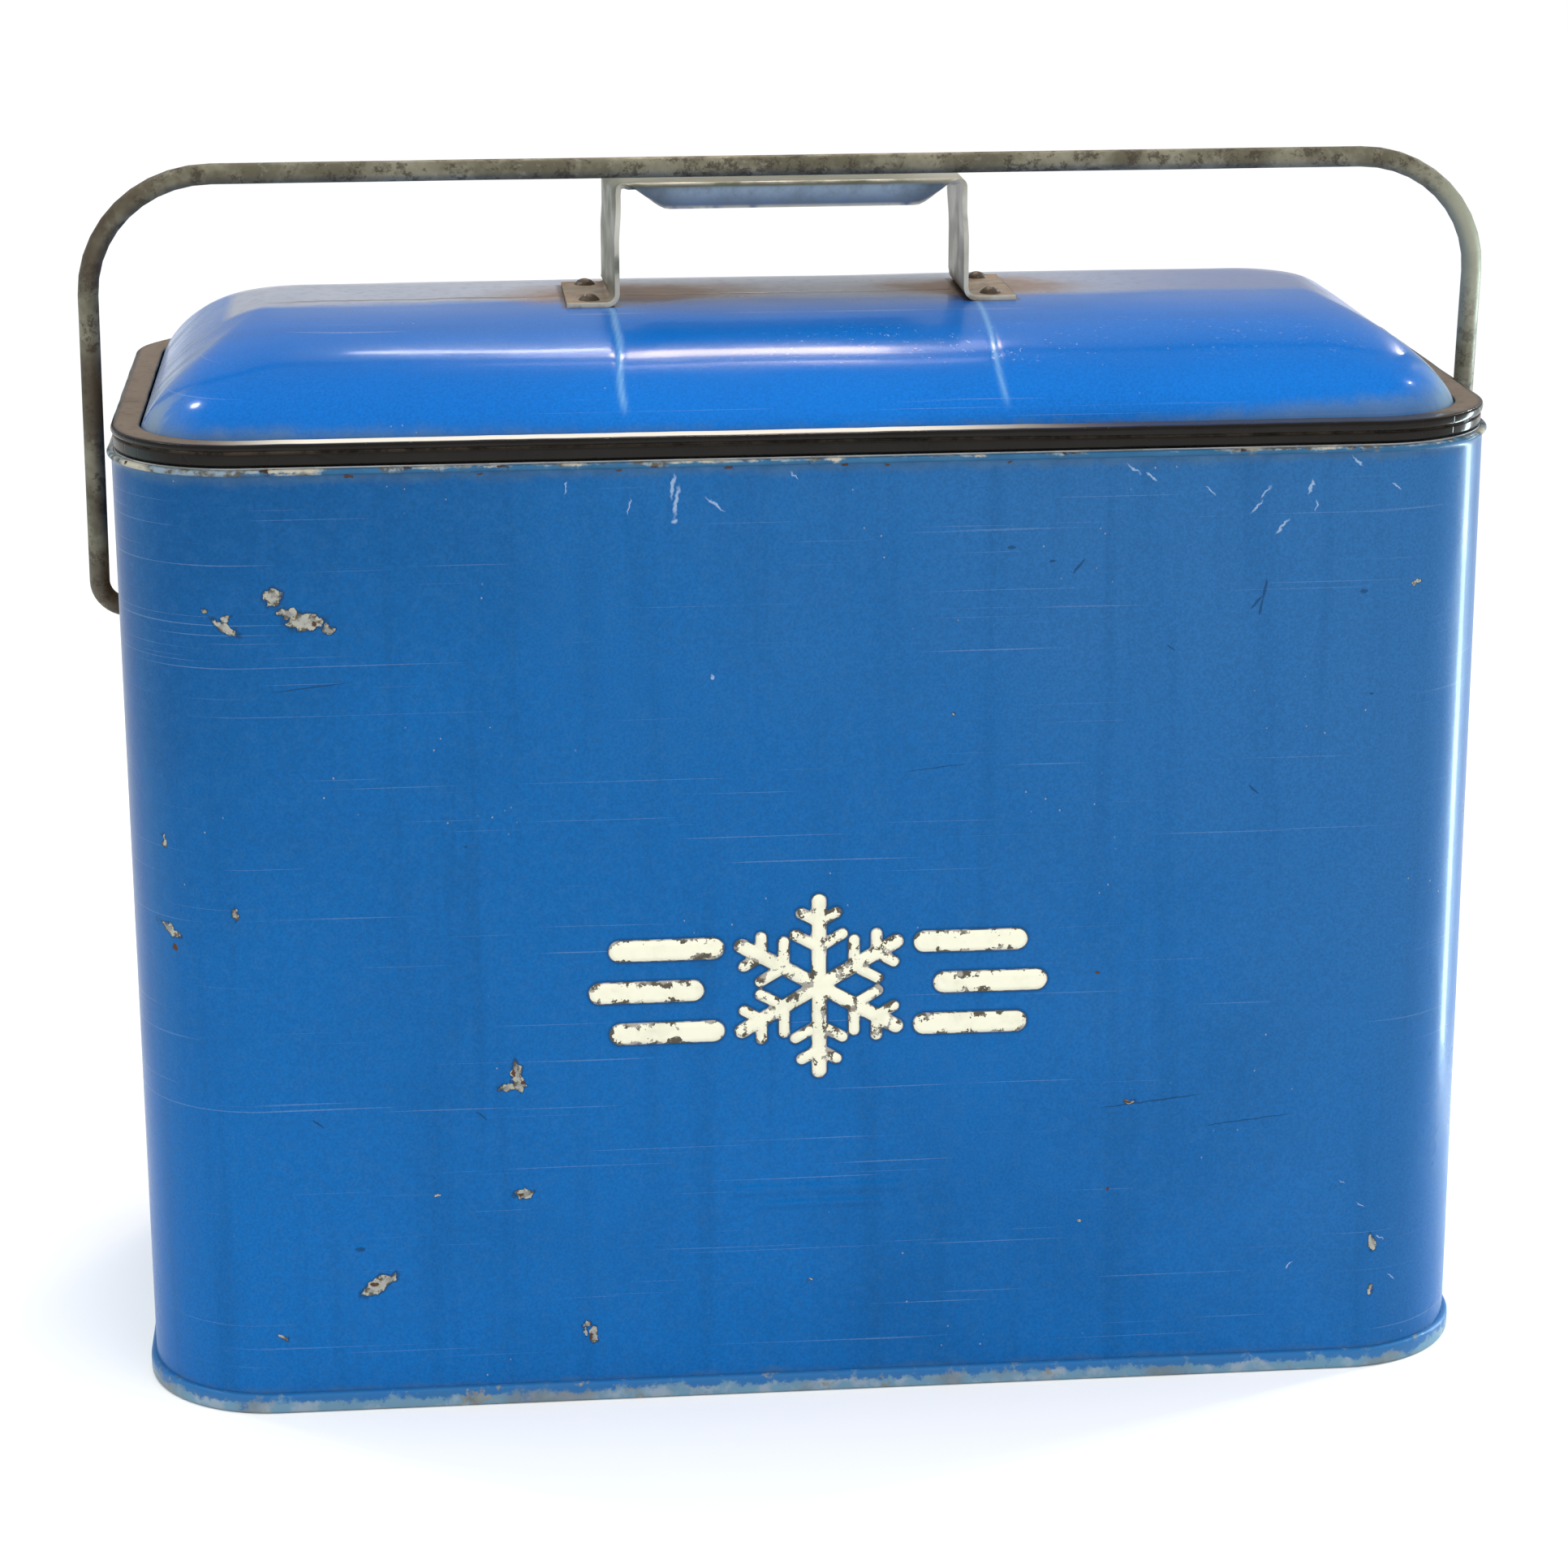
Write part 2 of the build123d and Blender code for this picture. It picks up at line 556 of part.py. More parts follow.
with BuildPart() as lid_gasket:
    step_in = GASKET_OUT - GASKET_STEP
    lip_in = GASKET_OUT - GASKET_LIP
    slot_out = GASKET_OUT - GASKET_WEB
    add(ring(GASKET_LOW, GASKET_HIGH, rounded_plan, GASKET_OUT, lip_in))
    below_bead = ring(GASKET_LOW, GASKET_BEAD_LOW, rounded_plan, GASKET_OUT, step_in)
    flange_slot = ring(LID_FLANGE_LOW, LID_FLANGE_HIGH, rounded_plan, slot_out, lip_in - CUT_REACH)
    add(below_bead, mode=Mode.SUBTRACT)
    add(flange_slot, mode=Mode.SUBTRACT)
    top_edges = lid_gasket.faces().sort_by(Axis.Z)[-1].outer_wire().edges()
    fillet(top_edges, GASKET_ROUND)
finish_part(lid_gasket.part, "lid_gasket")

strap_low = DOME_CROWN + STRAP_SHEET / 2
strap_high = STRAP_TOP - STRAP_SHEET / 2
with BuildPart() as lid_handle:
    with BuildSketch(Plane.XZ.offset(-STRAP_HALF_WIDTH)):
        with BuildLine() as strap_line:
            FilletPolyline(
                (-STRAP_FOOT_X, strap_low),
                (-STRAP_LEG_X, strap_low),
                (-STRAP_LEG_X, strap_high),
                (STRAP_LEG_X, strap_high),
                (STRAP_LEG_X, strap_low),
                (STRAP_FOOT_X, strap_low),
                radius=STRAP_BEND,
            )
        trace(line_width=STRAP_SHEET)
    extrude(amount=2 * STRAP_HALF_WIDTH)
    for edge_y in (-STRAP_HALF_WIDTH, STRAP_HALF_WIDTH - STRAP_SHEET):
        with BuildSketch(Plane.XZ.offset(-edge_y)):
            with BuildLine():
                Polyline(
                    (-GRIP_TOP_X, strap_high),
                    (GRIP_TOP_X, strap_high),
                    (GRIP_LOW_X, STRAP_TOP - GRIP_DROP),
                    (-GRIP_LOW_X, STRAP_TOP - GRIP_DROP),
                    close=True,
                )
            make_face()
        extrude(amount=-STRAP_SHEET)
    with BuildSketch(Plane.XY.offset(DOME_CROWN)):
        with GridLocations(2 * HANDLE_RIVET_X, 2 * HANDLE_RIVET_Y, 2, 2):
            Circle(HANDLE_SHANK)
    extrude(amount=CUT_REACH, mode=Mode.SUBTRACT)
finish_part(lid_handle.part, "lid_handle")

handle_grip = STRAP_SHEET + LID_SHEET + BACKING_SHEET
handle_rivet = make_rivet(HANDLE_SHANK, *HANDLE_RIVET_HEAD, handle_grip, HANDLE_RIVET_TAIL)
with BuildPart() as lid_handle_rivets:
    with Locations((0, 0, DOME_CROWN + STRAP_SHEET)):
        with GridLocations(2 * HANDLE_RIVET_X, 2 * HANDLE_RIVET_Y, 2, 2):
            add(handle_rivet)
finish_part(lid_handle_rivets.part, "lid_handle_rivets")

for side, hand in ((-1, "left"), (1, "right")):
    with BuildPart() as backing_plate:
        with BuildSketch(Plane.XY.offset(DOME_CROWN - LID_SHEET - BACKING_SHEET)):
            with Locations((side * HANDLE_RIVET_X, 0)):
                RectangleRounded(*BACKING_SIZE, BACKING_CORNER)
            for across in (-HANDLE_RIVET_Y, HANDLE_RIVET_Y):
                with Locations((side * HANDLE_RIVET_X, across)):
                    Circle(HANDLE_SHANK, mode=Mode.SUBTRACT)
        extrude(amount=BACKING_SHEET)
    finish_part(backing_plate.part, f"lid_backing_plate_{hand}")

# --- bail -------------------------------------------------------------------------------
lean = radians(BAIL_LEAN)
bail_plane = Plane(origin=(0, 0, PIVOT_Z), x_dir=(1, 0, 0), z_dir=(0, -cos(lean), -sin(lean)))
RETAINER_RADIUS = 9.0
RETAINER_SHEET = 1.4
RETAINER_X = HALF_X - SHEET - 1.0

with BuildPart() as bail_handle:
    with BuildLine(bail_plane) as bail_line:
        FilletPolyline(
            (-PIN_END_X, 0),
            (-BAIL_HALF_WIDTH, 0),
            (-BAIL_HALF_WIDTH, BAIL_LEG),
            (BAIL_HALF_WIDTH, BAIL_LEG),
            (BAIL_HALF_WIDTH, 0),
            (PIN_END_X, 0),
            radius=(BAIL_FOOT_BEND, BAIL_CORNER, BAIL_CORNER, BAIL_FOOT_BEND),
        )
    with BuildSketch(end_plane(-1, PIN_END_X, 0, PIVOT_Z)):
        Circle(ROD_RADIUS)
    sweep(path=bail_line.wires()[0])
finish_part(bail_handle.part, "bail_handle")

for side, hand in ((-1, "left"), (1, "right")):
    with BuildPart() as bail_retainer:
        with BuildSketch(end_plane(side, RETAINER_X - RETAINER_SHEET, 0, PIVOT_Z)):
            Circle(RETAINER_RADIUS)
            Circle(ROD_RADIUS, mode=Mode.SUBTRACT)
        extrude(amount=RETAINER_SHEET)
    finish_part(bail_retainer.part, f"bail_retainer_{hand}")

# --- tray -------------------------------------------------------------------------------
def tray_plan(spread):
    """The tray's rounded rectangle, measured outward from its outside face."""
    rounded_plan(spread, TRAY_HALF_X, TRAY_HALF_Y, TRAY_CORNER)


with BuildPart() as tray:
    add(slab(TRAY_LOW, TRAY_HIGH, tray_plan, 0))
    add(slab(TRAY_HIGH - THIN_SHEET, TRAY_HIGH, tray_plan, TRAY_RIM))
    add(slab(TRAY_LOW + THIN_SHEET, TRAY_HIGH, tray_plan, -THIN_SHEET), mode=Mode.SUBTRACT)
finish_part(tray.part, "tray")
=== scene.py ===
"""Looks of the picnic cooler: its enamelled sheet metal, rubber, wire and worn plating.

Every place comes from the frame. Profiles are in millimetres, like the sheet-metal drawing
they stand for, and are turned into metres when a mesh is made.
"""
import json
from math import cos, pi, radians, sin, tan

import bmesh
import bpy
import numpy as np
from mathutils import Matrix, Vector


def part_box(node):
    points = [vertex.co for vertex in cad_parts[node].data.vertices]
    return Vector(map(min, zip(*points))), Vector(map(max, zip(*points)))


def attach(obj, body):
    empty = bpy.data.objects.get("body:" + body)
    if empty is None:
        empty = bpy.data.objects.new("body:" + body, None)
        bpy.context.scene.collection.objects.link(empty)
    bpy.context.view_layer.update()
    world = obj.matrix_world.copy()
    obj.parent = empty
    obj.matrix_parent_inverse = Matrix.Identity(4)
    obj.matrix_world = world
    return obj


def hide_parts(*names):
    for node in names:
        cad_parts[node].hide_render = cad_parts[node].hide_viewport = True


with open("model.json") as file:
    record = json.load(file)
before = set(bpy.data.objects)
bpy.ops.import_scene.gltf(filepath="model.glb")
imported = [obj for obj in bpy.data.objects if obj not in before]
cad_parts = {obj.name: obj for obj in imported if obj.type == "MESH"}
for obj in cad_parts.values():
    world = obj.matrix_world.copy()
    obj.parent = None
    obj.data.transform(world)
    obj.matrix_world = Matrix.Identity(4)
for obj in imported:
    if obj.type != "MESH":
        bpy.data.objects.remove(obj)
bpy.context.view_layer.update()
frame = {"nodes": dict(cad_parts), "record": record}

MM = 0.001


def box_mm(node):
    """Lowest and highest corner of a CAD node, in millimetres."""
    low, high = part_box(node)
    return np.array(low) / MM, np.array(high) / MM


# --- sizes read from the frame ---
shell_low, shell_high = box_mm("outer_shell")
seam_high = box_mm("bottom_pan")[1]
gasket_low, gasket_high = box_mm("lid_gasket")
lid_low, lid_high = box_mm("lid_shell")
strap_low, strap_high = box_mm("lid_handle")
bail_low, bail_high = box_mm("bail_handle")
bail_joint = next(j for j in frame["record"]["behaviour"]["joints"] if j["name"] == "bail_swing")

RIM_PROUD = 1.5
RIM_HIGH = shell_high[2]
RIM_LOW = RIM_HIGH - 1.8
HALF_X = shell_high[0] - RIM_PROUD
HALF_Y = shell_high[1] - RIM_PROUD
CORNER = 45
SHEET = 0.6
GASKET_OUT = gasket_high[0] - HALF_X
LID_OUT = lid_high[0] - HALF_X
CROWN = lid_high[2]
LID_BASE = lid_low[2]
SEAM_TOP = seam_high[2]
STRAP_SHEET = 1.6
STRAP_FOOT_Z = strap_low[2]
STRAP_TOP = strap_high[2]
STRAP_HALF = strap_high[1]
STRAP_LEG = strap_high[0] - 16.9


# --- small mathematics ---
def ease(value, low, high):
    """0 below low, 1 above high, and a smooth step between."""
    t = np.clip((value - low) / (high - low), 0, 1)
    return t * t * (3 - 2 * t)


def chaikin(points, rounds=2, closed=True):
    """Cuts the corners of an outline, so that it runs in smooth curves."""
    points = np.array(points, float)
    for _ in range(rounds):
        after = np.roll(points, -1, axis=0)
        near = points * 0.75 + after * 0.25
        far = points * 0.25 + after * 0.75
        cut = np.stack([near, far], axis=1).reshape(-1, points.shape[1])
        if not closed:
            cut = np.vstack([points[:1], cut[:-2], points[-1:]])
        points = cut
    return points


def ripple(x, y, lengths, seeds):
    """Slow hills and hollows, about 1 high, as a hand finds in thin sheet."""
    height = 0
    for length, seed in zip(lengths, seeds):
        height = height + sin_wave(x, length, seed) * sin_wave(y, length * 1.3, seed * 2.7)
        height = height + 0.5 * sin_wave(x * 0.8 + y * 0.6, length * 0.7, seed * 1.9)
    return height / (1.5 * len(lengths))


def sin_wave(value, length, seed):
    return np.sin(2 * pi * value / length + seed)


def bell(value, centre, width):
    return np.exp(-(((value - centre) / width) ** 2))


def set_all(thing, **settings):
    for key, value in settings.items():
        setattr(thing, key, value)
    return thing


# --- meshes ---
def tidy_mesh(obj, merge=0, sharp=38):
    """Merges doubles, turns the normals outward and shades smoothly."""
    cage = bmesh.new()
    cage.from_mesh(obj.data)
    if merge:
        bmesh.ops.remove_doubles(cage, verts=cage.verts, dist=merge)
    bmesh.ops.recalc_face_normals(cage, faces=cage.faces)
    cage.to_mesh(obj.data)
    cage.free()
    obj.data.polygons.foreach_set("use_smooth", [True] * len(obj.data.polygons))
    obj.data.set_sharp_from_angle(angle=radians(sharp))


def new_piece(name, rows, quads, attributes):
    """An object in the scene from points in millimetres, with values at its points."""
    mesh = bpy.data.meshes.new(name)
    mesh.from_pydata((rows * MM).reshape(-1, 3).tolist(), [], quads.reshape(-1, 4).tolist())
    for key, values in attributes.items():
        layer = mesh.attributes.new(key, "FLOAT", "POINT")
        layer.data.foreach_set("value", np.asarray(values, np.float32).ravel())
    obj = bpy.data.objects.new(name, mesh)
    bpy.context.scene.collection.objects.link(obj)
    return obj


def point_numbers(rows):
    return np.arange(rows.shape[0] * rows.shape[1]).reshape(rows.shape[:2])


def grid_mesh(name, rows, wrap_rows, attributes):
    """A tube or ring from a grid of points: rows, columns, 3. Columns always close up."""
    index = point_numbers(rows)
    lower = index if wrap_rows else index[:-1]
    upper = np.roll(index, -1, axis=0) if wrap_rows else index[1:]
    turned = [np.roll(numbers, -1, axis=1) for numbers in (lower, upper)]
    return new_piece(name, rows, np.stack([lower, turned[0], turned[1], upper], axis=2), attributes)


def sheet_mesh(name, rows, attributes):
    """An open sheet from a grid of points, smoothly shaded."""
    index = point_numbers(rows)
    quads = np.stack([index[:-1, :-1], index[1:, :-1], index[1:, 1:], index[:-1, 1:]], axis=2)
    obj = new_piece(name, rows, quads, attributes)
    obj.data.polygons.foreach_set("use_smooth", [True] * len(obj.data.polygons))
    return obj


def corner_places(centre_x, centre_y, start, count):
    """Places round one corner, its two ends left to the flats beside it."""
    angles = [radians(start + 90 * (i + 1) / (count + 1)) for i in range(count)]
    return [(centre_x, centre_y, cos(a), sin(a)) for a in angles]


def places_round(long_cuts, end_cuts, corner_count=16):
    """Places round a rounded rectangle as (flat x, flat y, normal x, normal y), front first."""
    places = []
    for side in (1, -1):
        places += [(side * t, -side, 0, -side) for t in long_cuts]
        places += corner_places(side, -side, -90 * side, corner_count)
        places += [(side, side * t, side, 0) for t in end_cuts]
        places += corner_places(side, side, 90 - 90 * side, corner_count)
    return np.array(places, float)


def plan_ring(places, half_x, half_y, corner, z):
    """One closed ring of points at the given places of a rounded rectangle."""
    x = places[:, 0] * (half_x - corner) + places[:, 2] * corner
    y = places[:, 1] * (half_y - corner) + places[:, 3] * corner
    return np.stack([x, y, np.full_like(x, z)], axis=1)


def band_rows(places, profile):
    """Rings round the chest for each (spread, z) of a profile; spread is outward from its wall."""
    return np.stack(
        [plan_ring(places, HALF_X + s, HALF_Y + s, CORNER + s, z) for s, z in profile]
    )


def push_out(rows, places, shift):
    """Moves points outward from the wall, in place."""
    rows[:, :, 0] += shift * places[:, 2]
    rows[:, :, 1] += shift * places[:, 3]


def even_cuts(count):
    return np.linspace(-1, 1, count)


def dense_cuts(half_length, dense_half, dense_step, coarse_step):
    """Cuts from -1 to 1, close together in the middle stretch."""
    inner = np.arange(-dense_half, dense_half + dense_step / 2, dense_step)
    outer_count = int((half_length - dense_half) / coarse_step) + 1
    outer = np.linspace(dense_half, half_length, outer_count + 1)[1:]
    return np.concatenate([-outer[::-1], inner, outer]) / half_length


def hand_over(obj, body, node, slot):
    """Gives a piece its body and the material of its slot, and hides the CAD node it stands for."""
    obj.data.materials.append(MATERIALS[slot])
    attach(obj, body)
    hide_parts(node)
    return obj


# --- the raised emblem ---
EMBLEM_Z = 151
ARM_LONG = 33
ARM_RADIUS = 2.2
TWIGS = ((14, 11), (23, 8.5))
TWIG_RADIUS = 1.6
BAR_PITCH = 15
BAR_RADIUS = 3.5
BARS = ((-1, 33, 72), (0, 40, 79), (1, 33, 72))
NAME_BARS = ((76.5, 30, 1.7), (71, 22, 1.2))
EMBOSS = 1.2
NAME_EMBOSS = 0.45


def capsule_distance(x, z, ax, az, bx, bz, radius):
    """Distance to a straight stroke with round ends, negative inside it."""
    along_x, along_z = bx - ax, bz - az
    t = ((x - ax) * along_x + (z - az) * along_z) / (along_x**2 + along_z**2)
    t = np.clip(t, 0, 1)
    return np.hypot(x - ax - t * along_x, z - az - t * along_z) - radius


def emblem_strokes():
    """The strokes of a snow crystal with three bars on each side."""
    strokes = []
    for arm in range(6):
        angle = radians(60 * arm + 90)
        out = np.array([cos(angle), sin(angle)])
        centre = np.array([0, EMBLEM_Z])
        tip = centre + out * (ARM_LONG - ARM_RADIUS)
        strokes.append((*centre, *tip, ARM_RADIUS))
        for height, length in TWIGS:
            for lean in (-60, 60):
                turn = angle + radians(lean)
                root = centre + out * height
                end = root + np.array([cos(turn), sin(turn)]) * (length - TWIG_RADIUS)
                strokes.append((*root, *end, TWIG_RADIUS))
    for row, start, end in BARS:
        z = EMBLEM_Z + row * BAR_PITCH
        for side in (-1, 1):
            first = side * (start + BAR_RADIUS)
            last = side * (end - BAR_RADIUS)
            strokes.append((first, z, last, z, BAR_RADIUS))
    return strokes


def name_strokes():
    return [(r - half, z, half - r, z, r) for z, half, r in NAME_BARS]


def nearest_stroke(x, z, strokes):
    distance = np.full(np.broadcast(x, z).shape, 99.0)
    for stroke in strokes:
        distance = np.minimum(distance, capsule_distance(x, z, *stroke))
    return distance


# --- shader writing ---
COAT_ROUGHNESS = 0.09


class Shader:
    """A short way to write one material's nodes."""

    def __init__(self, name, roughness=0.4, metallic=0, coat=0, specular=0.5):
        self.material = bpy.data.materials.new(name)
        self.material.use_nodes = True
        self.tree = self.material.node_tree
        self.surface = self.tree.nodes["Principled BSDF"]
        self.fill(self.surface, {
            "Roughness": roughness, "Metallic": metallic, "Coat Weight": coat,
            "Coat Roughness": COAT_ROUGHNESS, "Specular IOR Level": specular,
        })
        self.place = self.node("TexCoord").outputs["Object"]
        self.heights = []
        self.colour = None

    def fill(self, node, inputs):
        """Sets or links a node's inputs, given by name or number."""
        for key, value in inputs.items():
            socket = node.inputs[key]
            if isinstance(value, bpy.types.NodeSocket):
                self.tree.links.new(value, socket)
            elif isinstance(value, tuple) and socket.type == "RGBA":
                socket.default_value = (*value, 1)
            else:
                socket.default_value = value

    def node(self, kind, inputs=None, **settings):
        made = set_all(self.tree.nodes.new("ShaderNode" + kind), **settings)
        self.fill(made, inputs or {})
        return made

    def math(self, operation, first, second=0):
        return self.node("Math", {0: first, 1: second}, operation=operation).outputs[0]

    def plus(self, first, second):
        return self.math("ADD", first, second)

    def minus(self, first, second):
        return self.math("SUBTRACT", first, second)

    def times(self, first, second):
        return self.math("MULTIPLY", first, second)

    def most(self, first, second):
        return self.math("MAXIMUM", first, second)

    def step(self, value, low, high, end=1, start=0):
        """start below low, end above high, a smooth step between."""
        inputs = dict(enumerate((value, low, high, start, end)))
        return self.node("MapRange", inputs, interpolation_type="SMOOTHSTEP").outputs[0]

    def blend(self, factor, first, second):
        inputs = {"Factor": factor, 6: first, 7: second}
        return self.node("Mix", inputs, data_type="RGBA").outputs[2]

    def lay(self, mask, paint):
        """Lays paint over the surface's colour where the mask says."""
        self.colour = self.blend(mask, self.colour, paint)

    def stretched(self, scale, rotation=(0, 0, 0), move=(0, 0, 0)):
        inputs = {"Vector": self.place, "Location": move, "Rotation": rotation, "Scale": scale}
        return self.node("Mapping", inputs).outputs[0]

    def noise(self, scale, detail=3, roughness=0.55, vector=None, distortion=0):
        inputs = {
            "Vector": vector or self.place, "Scale": scale, "Detail": detail,
            "Roughness": roughness, "Distortion": distortion,
        }
        return self.node("TexNoise", inputs).outputs["Fac"]

    def cells(self, scale, feature="F1", output="Distance", vector=None):
        inputs = {"Vector": vector or self.place, "Scale": scale}
        return self.node("TexVoronoi", inputs, feature=feature).outputs[output]

    def axis(self, which):
        """One coordinate of the object, in millimetres."""
        return self.times(self.node("SeparateXYZ", {0: self.place}).outputs[which], 1 / MM)

    def facing(self, which):
        """How much the surface faces along an axis, from the object's own normal."""
        normal = self.node("TexCoord").outputs["Normal"]
        return self.node("SeparateXYZ", {0: normal}).outputs[which]

    def painted(self, key):
        """A value that the mesh carries at its points."""
        return self.node("Attribute", attribute_name=key).outputs["Fac"]

    def spots(self, marks, ragged=0):
        """Distance to the nearest mark on the front in mark sizes, 1 at the mark's edge."""
        inputs = {"Scale": MARK_GRAIN, "Detail": 3, "Vector": self.place}
        warp = self.node("TexNoise", inputs).outputs["Color"]
        inputs = {0: warp, 1: (ragged * MM, 0, ragged * MM), 2: self.place}
        moved = self.node("VectorMath", inputs, operation="MULTIPLY_ADD").outputs[0]
        nearest = None
        for shape, places in marks.items():
            longer, turn = MARK_SHAPES[shape]
            lean_x, lean_z = cos(radians(turn)), sin(radians(turn))
            inputs = {
                "Vector": moved, "Rotation": (0, -radians(turn), 0),
                "Scale": (longer * MM, MARK_DEPTH * MM, MM),
            }
            turned = self.node("Mapping", inputs, vector_type="TEXTURE").outputs[0]
            for x, z, size in places:
                x, z = x + ragged / 2, z + ragged / 2
                along, across = x * lean_x + z * lean_z, z * lean_x - x * lean_z
                centre = (along / longer, -HALF_Y / MARK_DEPTH, across)
                apart = self.node("VectorMath", {0: turned, 1: centre}, operation="DISTANCE")
                far = self.times(apart.outputs["Value"], 1 / size)
                nearest = far if nearest is None else self.math("MINIMUM", nearest, far)
        return nearest

    def bump(self, height, depth):
        """Adds a height field; depth is its full swing in metres."""
        self.heights.append((height, depth))

    def finish(self, roughness=None, metallic=None):
        normal = {}
        for height, depth in self.heights:
            raised = self.node("Bump", {"Distance": depth, "Height": height, **normal})
            normal = {"Normal": raised.outputs[0]}
        inputs = {"Base Color": self.colour, "Roughness": roughness, "Metallic": metallic}
        self.fill(self.surface, {key: v for key, v in inputs.items() if v is not None} | normal)
        return self.material


# --- colours, linear ---
BODY_BLUE = (0.0010, 0.108, 0.345)
BODY_DEEP = (0.0012, 0.068, 0.215)
BODY_GREY = (0.022, 0.125, 0.325)
BODY_LOW = (0.0015, 0.122, 0.400)
LID_BLUE = (0.0010, 0.150, 0.560)
LID_DEEP = (0.0010, 0.105, 0.400)
PRIMER = (0.36, 0.355, 0.29)
BARE_STEEL = (0.30, 0.31, 0.30)
RUST = (0.105, 0.052, 0.027)
DARK_RUST = (0.045, 0.022, 0.014)
GRIME = (0.085, 0.075, 0.055)
DUST = (0.33, 0.31, 0.27)
CREAM = (0.76, 0.75, 0.60)
DARK_BLUE = (0.003, 0.030, 0.085)
PALE_BLUE = (0.36, 0.47, 0.62)
BLACK_RUBBER = (0.0048, 0.0045, 0.004)

# Marks on the body's front. A shape is its length over its height, and its turn in degrees.
MARK_DEPTH = 30
MARK_GRAIN = 420
MARK_SHAPES = {
    "round": (1, 0), "wide": (2.3, 0), "tall": (0.42, 5), "rising": (2.4, 35),
    "falling": (2.4, -30), "upstroke": (7, 50), "downstroke": (7, -40), "hair": (60, 6),
    "steep": (7, 80),
}
# Each mark is x, z and half its height, in mm.
PRIMER_CHIPS = {
    "round": ((-181.5, 293, 3.1), (-163.5, 281.5, 2), (-204, 288.5, 1.1), (-82, 28.5, 1.3),
              (92, 60, 0.6), (-103.5, 118.5, 2), (46, 247, 0.5), (-197, 286.5, 1.2)),
    "wide": ((-171, 284.4, 2.7), (-103, 78.4, 1.5), (109.2, 104.6, 0.9), (-133, 79, 0.5),
             (-3, 42, 0.4), (-176.5, 287.6, 1.6), (-108, 118, 1.3), (204.5, 288, 0.8)),
    "tall": ((-104.6, 122.5, 4.6), (-79.6, 24.6, 3.2), (197.7, 47, 3), (197.9, 29.2, 2.2),
             (-198, 183, 2.6), (-221.5, 206, 2.2), (-82.5, 25.5, 1.6)),
    "rising": ((-154.5, 46.2, 2.5), (-151, 48.2, 1.6)),
    "falling": ((-197.5, 283, 1.9), (-188, 28, 0.9), (-221, 175.5, 1.6)),
}
PALE_SMEARS = {
    "steep": ((-47.4, 322.5, 1), (-48.6, 327.5, 0.8), (-63, 321, 0.5), (-84, 328, 0.4),
              (166.5, 322.5, 0.5), (168.5, 316, 0.35)),
    "downstroke": ((-34.6, 321, 0.7), (182, 331, 0.5), (106, 330, 0.5), (112, 327, 0.4),
                   (193, 62, 0.35), (201, 49, 0.3), (206, 33, 0.35), (186, 71, 0.25),
                   (-8, 330, 0.35), (132, 322, 0.4), (196, 322, 0.4)),
    "upstroke": ((148, 316, 0.5), (157, 309, 0.6), (168, 40, 0.3), (151, 321, 0.5)),
    "round": ((-36, 262, 1), (-47.8, 316, 1.2)),
}
DARK_MARKS = {
    "steep": ((151.8, 287.5, 0.6), (150.6, 281.5, 0.5)),
    "upstroke": ((88, 297, 0.5), (149, 283, 0.5)),
    "hair": ((151, 96, 0.3), (117, 104.4, 0.35), (-170, 262, 0.25), (40, 228, 0.2)),
    "wide": ((79, 299, 0.5), (65, 304, 0.7), (186, 286, 0.7), (-160, 60, 0.9),
             (190, 250, 0.4)),
    "downstroke": ((-173, 107, 0.4), (-117, 108, 0.4), (150, 217, 0.4), (120, 268, 0.3)),
    "round": ((46, 247, 0.7), (-120, 205, 0.6)),
}
RUST_DOTS = {
    "round": ((-219.5, 169, 1.3), (102, 72, 0.6), (97, 152.5, 0.7), (-168, 283.6, 0.9),
              (-102.5, 119.6, 0.9)),
    "wide": ((108.6, 104.5, 0.6), (-104, 78, 0.6), (-155.5, 46.8, 0.8), (-30, 333.3, 0.7),
             (-66, 333.3, 0.5), (9, 333.4, 0.6), (-112, 333.2, 0.5), (23, 333.4, 0.4),
             (64, 333.4, 0.5), (-155, 333.2, 0.7)),
    "tall": ((-80.4, 23.6, 1.6), (-105.6, 123, 1.6)),
}


def fine_wear(shader):
    """Pin-head specks and hair scratches, for any enamel."""
    speck = shader.cells(230, vector=shader.stretched((1, 1, 0.8)))
    lonely = shader.noise(23, 2)
    specks = shader.times(shader.step(speck, 0.085, 0.04), shader.step(lonely, 0.58, 0.66))
    shader.lay(shader.times(specks, 0.7), PRIMER)
    zone = shader.noise(9, 2)
    for lean, low in ((0.12, 0.69), (-0.35, 0.71)):
        lines = shader.noise(1, 2, vector=shader.stretched((7, 7, 1000), rotation=(0, lean, 0)))
        scratch = shader.times(shader.step(lines, low, low + 0.05), zone)
        shader.lay(shader.times(scratch, 0.28), PALE_BLUE)
    grain = shader.step(shader.noise(1100, 2, 0.6), 0.25, 0.75)
    dark = shader.blend(0.22, shader.colour, (0, 0, 0))
    shader.colour = shader.blend(grain, dark, shader.colour)
    return specks


